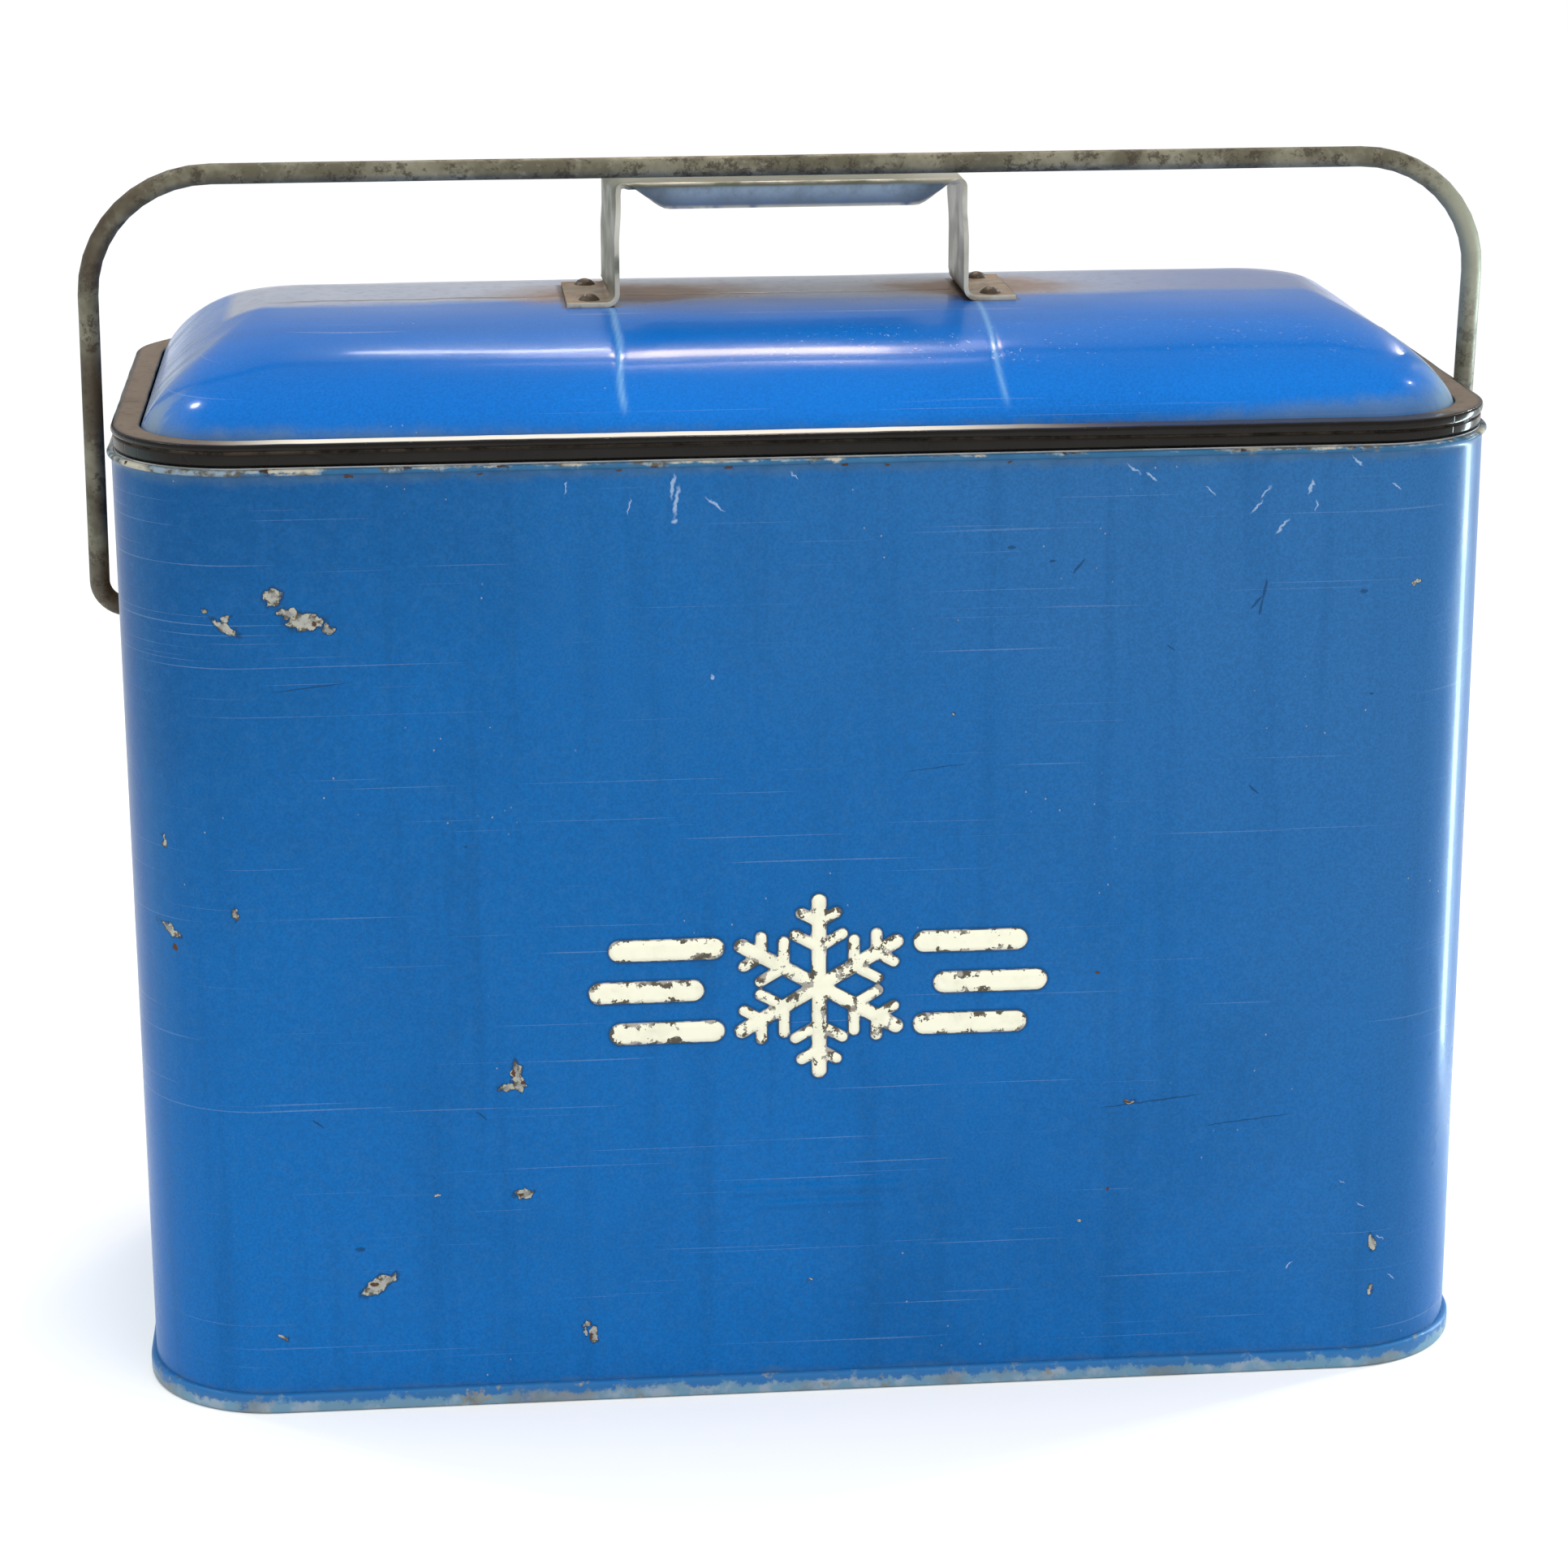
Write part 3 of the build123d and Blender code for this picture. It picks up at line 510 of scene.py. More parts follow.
def body_paint():
    """Blue enamel of the chest, with its chips, grime and cream emblem."""
    s = Shader("blue_enamel", coat=0.10, specular=0.08)
    x, z = s.axis("X"), s.axis("Z")
    s.colour = s.blend(s.step(z, 40, 230), BODY_LOW, BODY_BLUE)
    s.lay(s.step(s.noise(6, 4, 0.6), 0.42, 0.72, 0.45), BODY_DEEP)
    cloud = s.times(s.minus(s.noise(8, 4, 0.65), 0.5), 260)
    dull = s.plus(s.plus(x, z), cloud)
    s.lay(s.step(dull, 120, 520, 0.9), BODY_GREY)
    shade = s.plus(s.minus(s.times(z, 0.7), x), cloud)
    s.lay(s.step(shade, 290, 470, 0.75), BODY_DEEP)
    streaks = s.noise(1, 3, vector=s.stretched((80, 80, 4)))
    s.lay(s.step(streaks, 0.48, 0.72, 0.30), BODY_DEEP)
    s.lay(s.step(s.noise(260, 3), 0.42, 0.72, 0.22), BODY_GREY)
    specks = fine_wear(s)
    # Dirt and rubbed paint just under the rim and just above the seam.
    for edge_z, reach, tint in ((RIM_LOW, 7, 0.55), (SEAM_TOP, 5, 0.5)):
        away = s.math("ABSOLUTE", s.minus(z, edge_z))
        ragged = s.plus(away, s.times(s.noise(90, 4, 0.7), 8))
        near = s.step(ragged, reach + 1.5, reach - 2.5, tint)
        s.lay(near, s.blend(s.noise(140, 3), DARK_BLUE, (0.10, 0.20, 0.32)))
    bead = s.step(z, RIM_LOW - 0.35, RIM_LOW + 0.15)
    metal = s.blend(s.step(s.noise(210, 4, 0.7), 0.42, 0.58), (0.20, 0.27, 0.32), GRIME)
    metal = s.blend(s.step(s.noise(60, 3), 0.50, 0.60), metal, (0.40, 0.38, 0.31))
    rusty = s.noise(120, 3, 0.7, vector=s.stretched((1, 1, 1), move=(4, 0, 1)))
    metal = s.blend(s.step(rusty, 0.60, 0.66), metal, DARK_RUST)
    corner = s.most(s.step(x, -150, -215, 0.26), s.step(x, 205, 226, 0.14))
    upper = s.step(z, RIM_LOW + 0.7, RIM_HIGH - 0.1, 0.10)
    bare = s.plus(s.noise(42, 5, 0.75), s.plus(corner, upper))
    bead_blue = s.blend(s.noise(90, 3), (0.012, 0.075, 0.17), (0.045, 0.15, 0.28))
    s.lay(bead, s.blend(s.step(bare, 0.56, 0.66), bead_blue, metal))
    s.lay(s.step(s.spots(DARK_MARKS, 0.9), 1, 0.75, 0.65), DARK_BLUE)
    s.lay(s.step(s.spots(PALE_SMEARS, 3), 1, 0.35, 0.62), PALE_BLUE)
    near_chip = s.spots(PRIMER_CHIPS, 4.4)
    chip = s.step(near_chip, 1.02, 0.92)
    s.lay(s.step(near_chip, 1.45, 1, 0.75), DARK_BLUE)
    mottled = s.blend(s.step(s.noise(480, 4, 0.7), 0.44, 0.56), PRIMER, GRIME)
    s.lay(chip, s.blend(s.step(near_chip, 0.75, 0.45, 0.6), mottled, BARE_STEEL))
    dots = s.step(s.spots(RUST_DOTS, 2.6), 1, 0.7)
    s.lay(dots, s.blend(s.noise(300, 3), DARK_RUST, RUST))
    # The emblem: cream on the raised strokes, chipped along their edges.
    inside = s.painted("emblem_mm")
    nibble = s.times(s.step(s.noise(150, 4, 0.75), 0.50, 0.66), 2.6)
    cream = s.step(s.plus(inside, nibble), 0.25, 0)
    # Painted shade: a dark blue border round the foot of the raised strokes.
    s.lay(s.step(inside, 1.7, 0.5, 0.6), (0.002, 0.035, 0.11))
    bared = s.blend(s.step(s.noise(260, 2), 0.45, 0.6), GRIME, DUST)
    s.lay(s.step(inside, 0.55, 0.3), bared)
    aged = s.blend(s.step(s.noise(60, 4, 0.7), 0.45, 0.75, 0.45), CREAM, (0.52, 0.51, 0.38))
    s.lay(cream, aged)
    rough = s.step(s.noise(14, 4, 0.6), 0.3, 0.8, 0.38, 0.24)
    damaged = s.most(s.most(chip, dots), s.most(specks, bead))
    rough = s.most(rough, s.times(damaged, 0.7))
    s.bump(s.noise(75, 2), 0.00010)
    s.bump(s.minus(1, s.most(chip, dots)), 0.00022)
    s.bump(s.noise(900, 2), 0.00001)
    return s.finish(rough)


def lid_paint():
    """Brighter enamel of the lid, dusty at its foot, hazed and stained on top."""
    s = Shader("lid_enamel", coat=0.22, specular=0.12)
    x, y, z = s.axis("X"), s.axis("Y"), s.axis("Z")
    s.colour = s.blend(s.step(s.noise(8, 3), 0.35, 0.75, 0.6), LID_BLUE, LID_DEEP)
    s.lay(s.step(z, LID_BASE + 6, CROWN - 3, 0.35), LID_DEEP)
    specks = fine_wear(s)
    # Small pale flecks in a band below the crown, kept to the stretch where the highlight falls.
    band = s.math("ABSOLUTE", s.minus(z, CROWN - 7))
    pale_flecks = s.times(s.step(s.noise(420, 4, 0.75), 0.61, 0.66), s.step(band, 5.5, 1.5))
    pale_flecks = s.times(pale_flecks, s.step(x, -40, 30, 0.85))
    pale_flecks = s.times(pale_flecks, s.step(x, 110, 160, 0.25, 1))
    s.lay(s.times(pale_flecks, s.step(s.noise(40, 2), 0.42, 0.55)), PALE_BLUE)
    # Painted highlight: a pale blue streak along each crease, standing in for light caught by the
    # pinch.
    crease_highlight = s.painted("crease_highlight")
    s.lay(s.times(crease_highlight, 0.62), (0.20, 0.42, 0.66))
    # Dust lies along the foot of the dome, thicker towards its ends.
    ends = s.most(s.step(x, 80, 235), s.step(x, -40, -205, 0.35))
    foot = s.minus(z, s.times(ends, 7.5))
    foot = s.plus(foot, s.times(s.noise(85, 5, 0.75), 8))
    dusty = s.step(foot, LID_BASE + 9, LID_BASE + 2, 0.50)
    s.lay(dusty, s.blend(s.noise(110, 3), (0.07, 0.13, 0.17), (0.17, 0.21, 0.21)))
    # The back half of the crown is hazed over, with a brown line where the haze ends.
    wavy = s.times(s.noise(1, 3, 0.6, vector=s.stretched((14, 40, 1))), 22)
    level = s.plus(y, wavy)
    top = s.step(level, -4, 9)
    top = s.times(top, s.step(z, CROWN - 6, CROWN - 3))
    hazed = s.blend(s.noise(30, 4, 0.7), (0.25, 0.28, 0.33), (0.42, 0.44, 0.47))
    hazed = s.blend(s.step(x, 60, 170, 0.85), hazed, (0.13, 0.17, 0.31))
    hazed = s.blend(s.step(s.noise(260, 3), 0.45, 0.7, 0.35), hazed, (0.16, 0.16, 0.20))
    s.lay(s.times(top, 0.88), hazed)
    line = s.step(s.math("ABSOLUTE", s.minus(level, 11)), 2.6, 0.4)
    line = s.times(line, s.times(s.step(x, -60, -90), s.step(x, -200, -150)))
    s.lay(s.times(line, 0.75), (0.09, 0.065, 0.05))
    # Dust haze and painted sheen: the left end, where it faces -X, is painted a paler grey-blue,
    # more so in patches.
    end = s.times(s.step(x, -176, -205), s.step(s.facing("X"), -0.25, -0.75))
    end_patches = s.noise(1, 4, 0.6, vector=s.stretched((30, 90, 22), rotation=(0.5, 0.3, 0)))
    rubbed = s.step(end_patches, 0.40, 0.56)
    end = s.times(s.most(s.times(rubbed, 0.85), 0.35), end)
    s.lay(end, (0.18, 0.25, 0.33))
    # Painted sheen: the right end, where it faces +X, is painted a lighter blue in patches.
    right_end_sheen = s.times(s.step(x, 196, 224), s.step(s.facing("X"), 0.25, 0.75))
    right_end_sheen = s.times(right_end_sheen, s.step(end_patches, 0.36, 0.58, 0.70, 0.30))
    s.lay(right_end_sheen, (0.26, 0.40, 0.52))
    stained = 0
    for side, reach in ((-1, 62), (1, 48)):
        off_x = s.times(s.minus(x, side * STRAP_LEG + 6), 1 / reach)
        off_y = s.times(s.minus(y, 6), 1 / 30)
        far = s.math("SQRT", s.plus(s.math("POWER", off_x, 2), s.math("POWER", off_y, 2)))
        far = s.plus(far, s.times(s.noise(45, 4, 0.65), 0.9))
        stained = s.most(stained, s.step(far, 1.5, 0.75))
    stained = s.times(stained, s.step(z, CROWN - 1.2, CROWN - 0.2))
    stain = s.blend(s.noise(70, 3), (0.27, 0.15, 0.07), (0.12, 0.075, 0.045))
    s.lay(s.times(stained, 0.85), stain)
    for edge_x in (-STRAP_LEG - 8.6, STRAP_LEG + 8.6):
        off_x = s.minus(s.math("ABSOLUTE", s.minus(x, edge_x)), 9)
        off_y = s.minus(s.math("ABSOLUTE", y), STRAP_HALF)
        off = s.plus(s.most(off_x, off_y), s.times(s.noise(120, 3), 1.6))
        s.lay(s.step(off, 2.6, 1, 0.75), (0.035, 0.025, 0.018))
    rough = s.step(s.noise(16, 4, 0.6), 0.3, 0.8, 0.30, 0.17)
    soiled = s.most(s.times(dusty, 0.8), s.times(top, 0.36))
    soiled = s.most(soiled, s.times(s.most(stained, end), 0.55))
    rough = s.most(rough, s.most(soiled, s.times(specks, 0.6)))
    s.bump(s.noise(70, 2), 0.00009)
    s.bump(s.noise(800, 2), 0.00001)
    return s.finish(rough)


def seam_paint():
    """The rolled bottom seam: blue above, rubbed through to pale metal along its lower edge."""
    s = Shader("seam_enamel", specular=0.3)
    z = s.axis("Z")
    rub = s.plus(s.noise(150, 4, 0.7), s.times(s.step(z, 6.4, 1.6), 0.34))
    rubbed = s.step(rub, 0.56, 0.74)
    s.colour = s.blend(s.noise(40, 3), BODY_BLUE, (0.03, 0.13, 0.27))
    metal = s.blend(s.step(s.noise(130, 3), 0.45, 0.62), (0.14, 0.27, 0.37), (0.25, 0.33, 0.40))
    metal = s.blend(s.step(s.noise(26, 3), 0.5, 0.62, 0.6), metal, (0.16, 0.17, 0.17))
    s.lay(rubbed, metal)
    mark = s.noise(70, 4, 0.7, vector=s.stretched((1, 1, 1), move=(3, 1, 2)))
    s.lay(s.step(mark, 0.60, 0.66, 0.8), s.blend(s.noise(200, 2), GRIME, PRIMER))
    s.bump(s.noise(60, 3), 0.0005)
    rough = s.step(s.noise(30, 2), 0.3, 0.7, 0.5, 0.3)
    return s.finish(rough, s.times(rubbed, 0.5))


def rubber(name):
    """Old black rubber: brown dust in its groove and on its lip, and a painted cream highlight
    along the front of the lip.
    """
    s = Shader(name, specular=0.18)
    x, y = s.axis("X"), s.axis("Y")
    lip, groove = s.painted("lip"), s.painted("groove")
    s.colour = s.blend(s.noise(120, 3), BLACK_RUBBER, (0.012, 0.010, 0.008))
    in_groove = s.times(groove, s.step(s.noise(80, 4, 0.7), 0.36, 0.62, 0.85, 0.10))
    in_groove = s.times(in_groove, s.step(x, -60, -215, 1, 0.45))
    s.lay(in_groove, (0.135, 0.105, 0.075))
    brown = s.blend(s.noise(28, 4, 0.7), (0.105, 0.080, 0.060), (0.19, 0.155, 0.125))
    brown = s.blend(s.step(s.noise(300, 3, 0.7), 0.55, 0.7, 0.5), brown, (0.07, 0.055, 0.045))
    # Painted highlight: along the front, the lip is painted cream instead of brown dust.
    front = s.times(s.step(y, -96, -104), s.step(x, 96, 20))
    front = s.times(front, s.step(x, -205, -165))
    pale = s.blend(front, brown, (0.72, 0.67, 0.56))
    worn_away = s.times(s.step(y, -96, -104), s.step(x, 40, 130, 0.75))
    dusty = s.times(lip, s.minus(1, worn_away))
    s.lay(dusty, pale)
    cracks = s.cells(70, feature="DISTANCE_TO_EDGE", vector=s.stretched((1, 1, 0.2)))
    s.bump(s.step(cracks, 0, 0.02), 0.00006)
    s.bump(s.noise(500, 3), 0.00004)
    rough = s.most(s.times(dusty, 0.8), s.times(in_groove, 0.8))
    return s.finish(s.most(rough, s.step(s.noise(35, 3), 0.3, 0.8, 0.34, 0.16)))


def wire_steel():
    """Bare bail wire: dull olive oxide with brown specks, browner on the left leg."""
    s = Shader("bail_wire", metallic=0.25, specular=0.4)
    x, z = s.axis("X"), s.axis("Z")
    patches = s.step(s.noise(45, 4, 0.65), 0.38, 0.62)
    s.colour = s.blend(patches, (0.200, 0.190, 0.135), (0.100, 0.092, 0.060))
    spots = s.step(s.noise(170, 5, 0.8), 0.50, 0.60)
    s.lay(s.times(spots, 0.8), (0.042, 0.032, 0.020))
    pale = s.step(s.noise(250, 4, 0.7), 0.56, 0.68)
    s.lay(s.times(pale, 0.45), (0.26, 0.25, 0.20))
    left = s.times(s.step(x, -200, -240), s.step(s.noise(22, 4, 0.7), 0.36, 0.56))
    s.lay(s.times(left, 0.7), (0.052, 0.034, 0.020))
    right = s.times(s.step(x, 215, 240), s.step(z, 340, 390))
    s.lay(s.times(right, 0.8), (0.33, 0.34, 0.26))
    s.bump(s.noise(330, 4, 0.6), 0.00014)
    s.bump(s.noise(60, 2), 0.0002)
    return s.finish(s.step(s.noise(80, 3), 0.3, 0.7, 0.65, 0.42))


def strap_steel():
    """Zinc-plated strap: pale grey-green, tan at the feet, blue-grey on the folded grip."""
    s = Shader("strap_zinc", metallic=0.3, specular=0.4)
    x, z = s.axis("X"), s.axis("Z")
    s.colour = s.blend(s.noise(38, 4, 0.65), (0.20, 0.215, 0.165), (0.11, 0.122, 0.088))
    brushed = s.noise(1, 3, vector=s.stretched((120, 600, 14)))
    s.lay(s.step(brushed, 0.45, 0.7, 0.45), (0.12, 0.13, 0.10))
    s.lay(s.step(s.noise(210, 4, 0.7), 0.52, 0.66, 0.6), (0.17, 0.12, 0.07))
    s.lay(s.step(x, 30, 60, 0.6), (0.43, 0.43, 0.38))
    stain = s.plus(z, s.times(s.noise(70, 4, 0.7), 9))
    stained = s.step(stain, STRAP_FOOT_Z + 10, STRAP_FOOT_Z + 5)
    darker = s.step(s.noise(130, 4, 0.7), 0.35, 0.65)
    tan_brown = s.blend(darker, (0.29, 0.20, 0.125), (0.12, 0.068, 0.035))
    s.lay(s.times(stained, 0.92), tan_brown)
    depth = s.painted("fold_mm")
    fold = s.step(depth, 1, 2)
    low_x = s.math("ABSOLUTE", x)
    blue_grey = s.blend(s.step(depth, 2, 8.5), (0.24, 0.33, 0.43), (0.075, 0.12, 0.21))
    dulled = s.step(s.noise(160, 4, 0.7), 0.4, 0.7, 0.5)
    blue_grey = s.blend(dulled, blue_grey, (0.10, 0.13, 0.16))
    blue_grey = s.blend(s.step(low_x, 34, 52, 0.7), blue_grey, (0.035, 0.05, 0.075))
    s.lay(fold, blue_grey)
    # Pale edges: wear on the cut edges and a painted highlight along the grip's rounded fold.
    wear_and_highlight = s.times(s.painted("edge"), s.step(s.noise(90, 3), 0.30, 0.5))
    s.lay(wear_and_highlight, s.blend(s.noise(60, 3), (0.62, 0.62, 0.54), (0.40, 0.36, 0.28)))
    s.bump(s.noise(260, 3), 0.00006)
    s.bump(s.noise(40, 2), 0.0002)
    return s.finish(s.step(s.noise(60, 3), 0.3, 0.75, 0.6, 0.34))


def dark_rivet():
    s = Shader("rivet_steel", metallic=0.5, roughness=0.5)
    s.colour = s.blend(s.noise(240, 4, 0.7), (0.11, 0.085, 0.06), (0.05, 0.035, 0.025))
    s.lay(s.step(s.noise(420, 3), 0.6, 0.7), (0.3, 0.29, 0.26))
    s.bump(s.noise(600, 4), 0.0001)
    return s.finish(s.step(s.noise(300, 2), 0.3, 0.7, 0.6, 0.35))


def galvanised():
    """Hot-dip zinc: pale crystals, each turned a little to its neighbours."""
    s = Shader("galvanised", metallic=0.85, roughness=0.4)
    tint = s.node("SeparateColor", {0: s.cells(85, output="Color")})
    s.colour = s.blend(tint.outputs[0], (0.46, 0.48, 0.49), (0.64, 0.66, 0.66))
    white_rust = s.step(s.noise(22, 5, 0.7), 0.58, 0.74)
    s.lay(s.times(white_rust, 0.55), (0.70, 0.70, 0.66))
    brown = s.step(s.noise(14, 5, 0.72, vector=s.stretched((1, 1, 1), move=(2, 5, 1))), 0.64, 0.72)
    s.lay(s.times(brown, 0.6), RUST)
    s.bump(s.noise(180, 3), 0.00008)
    rough = s.step(tint.outputs[1], 0, 1, 0.52, 0.30)
    rough = s.most(rough, s.times(s.most(white_rust, brown), 0.7))
    return s.finish(rough)


def glass_wool():
    s = Shader("glass_wool", roughness=0.95)
    strands = s.noise(1, 5, 0.7, vector=s.stretched((260, 260, 40)), distortion=1.2)
    s.colour = s.blend(strands, (0.78, 0.66, 0.30), (0.55, 0.42, 0.17))
    s.bump(strands, 0.002)
    return s.finish()


def drain_metal():
    s = Shader("drain_brass", metallic=0.9, roughness=0.35)
    s.colour = s.blend(s.noise(60, 4, 0.7), (0.58, 0.46, 0.22), (0.40, 0.30, 0.15))
    green = s.step(s.noise(110, 4, 0.7), 0.60, 0.70)
    s.lay(s.times(green, 0.5), (0.12, 0.22, 0.16))
    s.bump(s.noise(300, 3), 0.00006)
    return s.finish(s.step(s.noise(70, 3), 0.3, 0.7, 0.6, 0.28))


def cap_plastic():
    s = Shader("cap_plastic", coat=0.2)
    s.colour = s.blend(s.noise(90, 4, 0.6), (0.66, 0.62, 0.50), (0.50, 0.45, 0.33))
    s.lay(s.step(s.noise(220, 3), 0.62, 0.7), GRIME)
    s.bump(s.noise(350, 3), 0.00006)
    return s.finish(s.step(s.noise(60, 2), 0.3, 0.7, 0.5, 0.3))


MATERIALS = {
    "blue_paint": body_paint(),
    "lid_paint": lid_paint(),
    "seam_paint": seam_paint(),
    "galvanised": galvanised(),
    "bail_steel": wire_steel(),
    "strap_steel": strap_steel(),
    "rivet_steel": dark_rivet(),
    "gasket_rubber": rubber("gasket_rubber"),
    "washer_rubber": rubber("washer_rubber"),
    "glass_wool": glass_wool(),
    "cap_plastic": cap_plastic(),
    "drain_brass": drain_metal(),
}


def dress_cad_nodes():
    """Every CAD node gets the material of its slot in the record."""
    for entry in frame["record"]["subparts"]:
        for slot in frame["nodes"][entry["node"]].material_slots:
            slot.material = MATERIALS[entry["material_slot"]]


# --- chest shell ---
EMBLEM_BAND = (62, 188)
EMBLEM_GAP = 0.75
WALL_GAP = 4
BEAD_CUT = 18


def shell_profile():
    """(spread, z) from the foot of the wall up the outside, over the rim and down inside."""
    low = shell_low[2]
    lower = np.arange(low + 1.5, EMBLEM_BAND[0], WALL_GAP)
    emblem = np.arange(*EMBLEM_BAND, EMBLEM_GAP)
    upper = np.arange(EMBLEM_BAND[1], RIM_LOW - 4, WALL_GAP)
    outside = [(0, low)] + [(0, z) for z in np.concatenate([lower, emblem, upper])]
    outside += [(0, RIM_LOW - 2), (0.02, RIM_LOW - 0.5)]
    middle = (RIM_HIGH + RIM_LOW) / 2
    radius = (RIM_HIGH - RIM_LOW) / 2
    for angle in range(-90, 91, BEAD_CUT):
        spread = RIM_PROUD - radius + radius * cos(radians(angle))
        outside.append((spread, middle + radius * sin(radians(angle))))
    inside = [(-SHEET, RIM_HIGH), (-SHEET, RIM_LOW), (-SHEET, 180), (-SHEET, low)]
    return outside, inside


def make_shell():
    """The chest's skin: slightly oil-canned sheet with the emblem pressed out of its front."""
    half_flat = HALF_X - CORNER
    places = places_round(dense_cuts(half_flat, 84, 0.8, 4), even_cuts(28), 22)
    outside, inside = shell_profile()
    rows = band_rows(places, outside + inside)
    x, z = rows[:, :, 0], rows[:, :, 2]
    front = (places[:, 3] == -1).astype(float)
    flat_long = (np.abs(places[:, 3]) == 1).astype(float)
    flat_end = (np.abs(places[:, 2]) == 1).astype(float)
    across = np.where(flat_end > 0, places[:, 1], places[:, 0])
    calm = (1 - np.abs(across) ** 4) * (flat_long * 0.55 + flat_end * 0.3)
    height = ease(z, 6, 60) * (1 - ease(z, RIM_LOW - 50, RIM_LOW - 6))
    travel = np.where(flat_end > 0, places[:, 1] * 90 + 400, x)
    bulge = ripple(travel, z, (230, 140, 95), (0.6, 2.1, 4)) * calm * height
    inside_emblem = nearest_stroke(x, z, emblem_strokes()) * front + 99 * (1 - front)
    raised = (1 - ease(inside_emblem, -0.9, 0.7)) * EMBOSS
    named = (1 - ease(nearest_stroke(x, z, name_strokes()), -0.6, 0.6)) * NAME_EMBOSS * front
    around = x + rows[:, :, 1]
    rim = ease(z, RIM_LOW, RIM_LOW + 0.5) * ripple(around, around * 0.4, (57, 23, 11), (1, 3, 5))
    shift = bulge + raised + named + rim * 0.2
    shift[len(outside):] = np.minimum(shift[len(outside):], 0)
    push_out(rows, places, shift)
    attributes = {"emblem_mm": np.clip(inside_emblem, -9, 9)}
    shell = grid_mesh("chest_skin", rows, True, attributes)
    tidy_mesh(shell, sharp=50)
    hand_over(shell, "chest", "outer_shell", "blue_paint")


# --- lid ---
DOME_OUT = -10.1
DOME_CORNER = 34
CROWN_CORNER = 22
END_RUN = 41
END_POWER = 1.45
CROWN_SHARE = 0.78
LID_SHEET = 0.7


def dome_ring(places, share):
    """The lid's plan at a share of its rise."""
    end_run = END_RUN * (1 - (1 - share**END_POWER) ** (1 / END_POWER))
    side_run = CROWN_SHARE * (1 - (1 - share**2) ** 0.5)
    half_x = HALF_X + DOME_OUT - end_run
    half_y = (HALF_Y + DOME_OUT) * (1 - side_run)
    corner = min(DOME_CORNER + (CROWN_CORNER - DOME_CORNER) * share, half_y - 0.3)
    return plan_ring(places, half_x, half_y, corner, LID_BASE + (CROWN - LID_BASE) * share)


def crown_ring(places, share):
    """The nearly flat top, closing towards a line along the lid's middle."""
    half_y = (HALF_Y + DOME_OUT) * (1 - CROWN_SHARE) * (1 - share)
    half_x = HALF_X + DOME_OUT - END_RUN - (HALF_Y + DOME_OUT) * (1 - CROWN_SHARE) * share
    corner = max(half_y - 0.9 * (1 - share), 0)
    return plan_ring(places, half_x, half_y, corner, CROWN)


LEFT_CREASE = -63.6
RIGHT_CREASE = 64.6


def lid_creases(x, share):
    """The dome's two creases: how far its front is pushed in, in mm, and where a painted highlight
    runs along them.
    """
    left = LEFT_CREASE + 0.5 * np.sin(share * 9)
    right = RIGHT_CREASE + 0.9 * np.sin(share * 6 + 1)
    slope = ease(share, 0.10, 0.40) * (1 - ease(share, 0.93, 1))
    between = ease(x, left - 1.4, left + 2.6) * (1 - ease(x, right - 2.6, right + 1.4))
    pinch = bell(x, left, 1.2) + bell(x, right, 1.2)
    crease_glint = bell(x, left, 1) + 0.8 * bell(x, right, 0.9)
    flattened = 0.30 * np.exp(-0.5 * ((share - 0.735) / 0.075) ** 2)
    return slope * ((0.4 + flattened) * between + 0.5 * pinch), crease_glint * ease(share, 0.2, 0.4)


def make_lid():
    """Drawn lid: a flat flange, a fair dome with two creases and a worn, level crown."""
    half_flat = HALF_X - CORNER
    places = places_round(dense_cuts(half_flat, 92, 1.1, 4), even_cuts(26), 18)
    flange = [LID_OUT, LID_OUT - 2, -6, DOME_OUT + 0.8]
    rings = [plan_ring(places, HALF_X + s, HALF_Y + s, CORNER + s, LID_BASE) for s in flange]
    shares = [0.0] * len(flange)
    steps = 40
    for step in range(steps + 1):
        share = sin(radians(90 * step / steps))
        rings.append(dome_ring(places, share))
        shares.append(share)
    for share in np.linspace(0, 1, 9)[1:]:
        rings.append(crown_ring(places, share))
        shares.append(1.0)
    rows = np.stack(rings)
    share = np.array(shares)[:, None] * np.ones(len(places))
    x = rows[:, :, 0]
    front = (places[:, 1] == -1) & (np.abs(places[:, 0]) < 1)
    pushed, crease_glint = lid_creases(x, share)
    pushed *= front
    wave = ripple(x, rows[:, :, 1], (170, 110, 73), (1.2, 0.3, 2.2)) * 0.35
    wave *= ease(share, 0.1, 0.5) * (1 - ease(share, 0.93, 1))
    slope = np.sqrt(np.clip(1 - share**2, 0, 1))
    shift = wave - pushed
    push_out(rows, places, shift * slope)
    rows[:, :, 2] += shift * np.sqrt(1 - slope**2)
    lid = grid_mesh("lid_skin", rows, False, {"crease_highlight": crease_glint * front})
    tidy_mesh(lid, merge=0.02 * MM, sharp=60)
    set_all(lid.modifiers.new("sheet", "SOLIDIFY"), thickness=LID_SHEET * MM, offset=-1)
    hand_over(lid, "lid", "lid_shell", "lid_paint")


# --- gasket ---
GROOVE_DROP = 2.7
GROOVE_SAG = 1.1


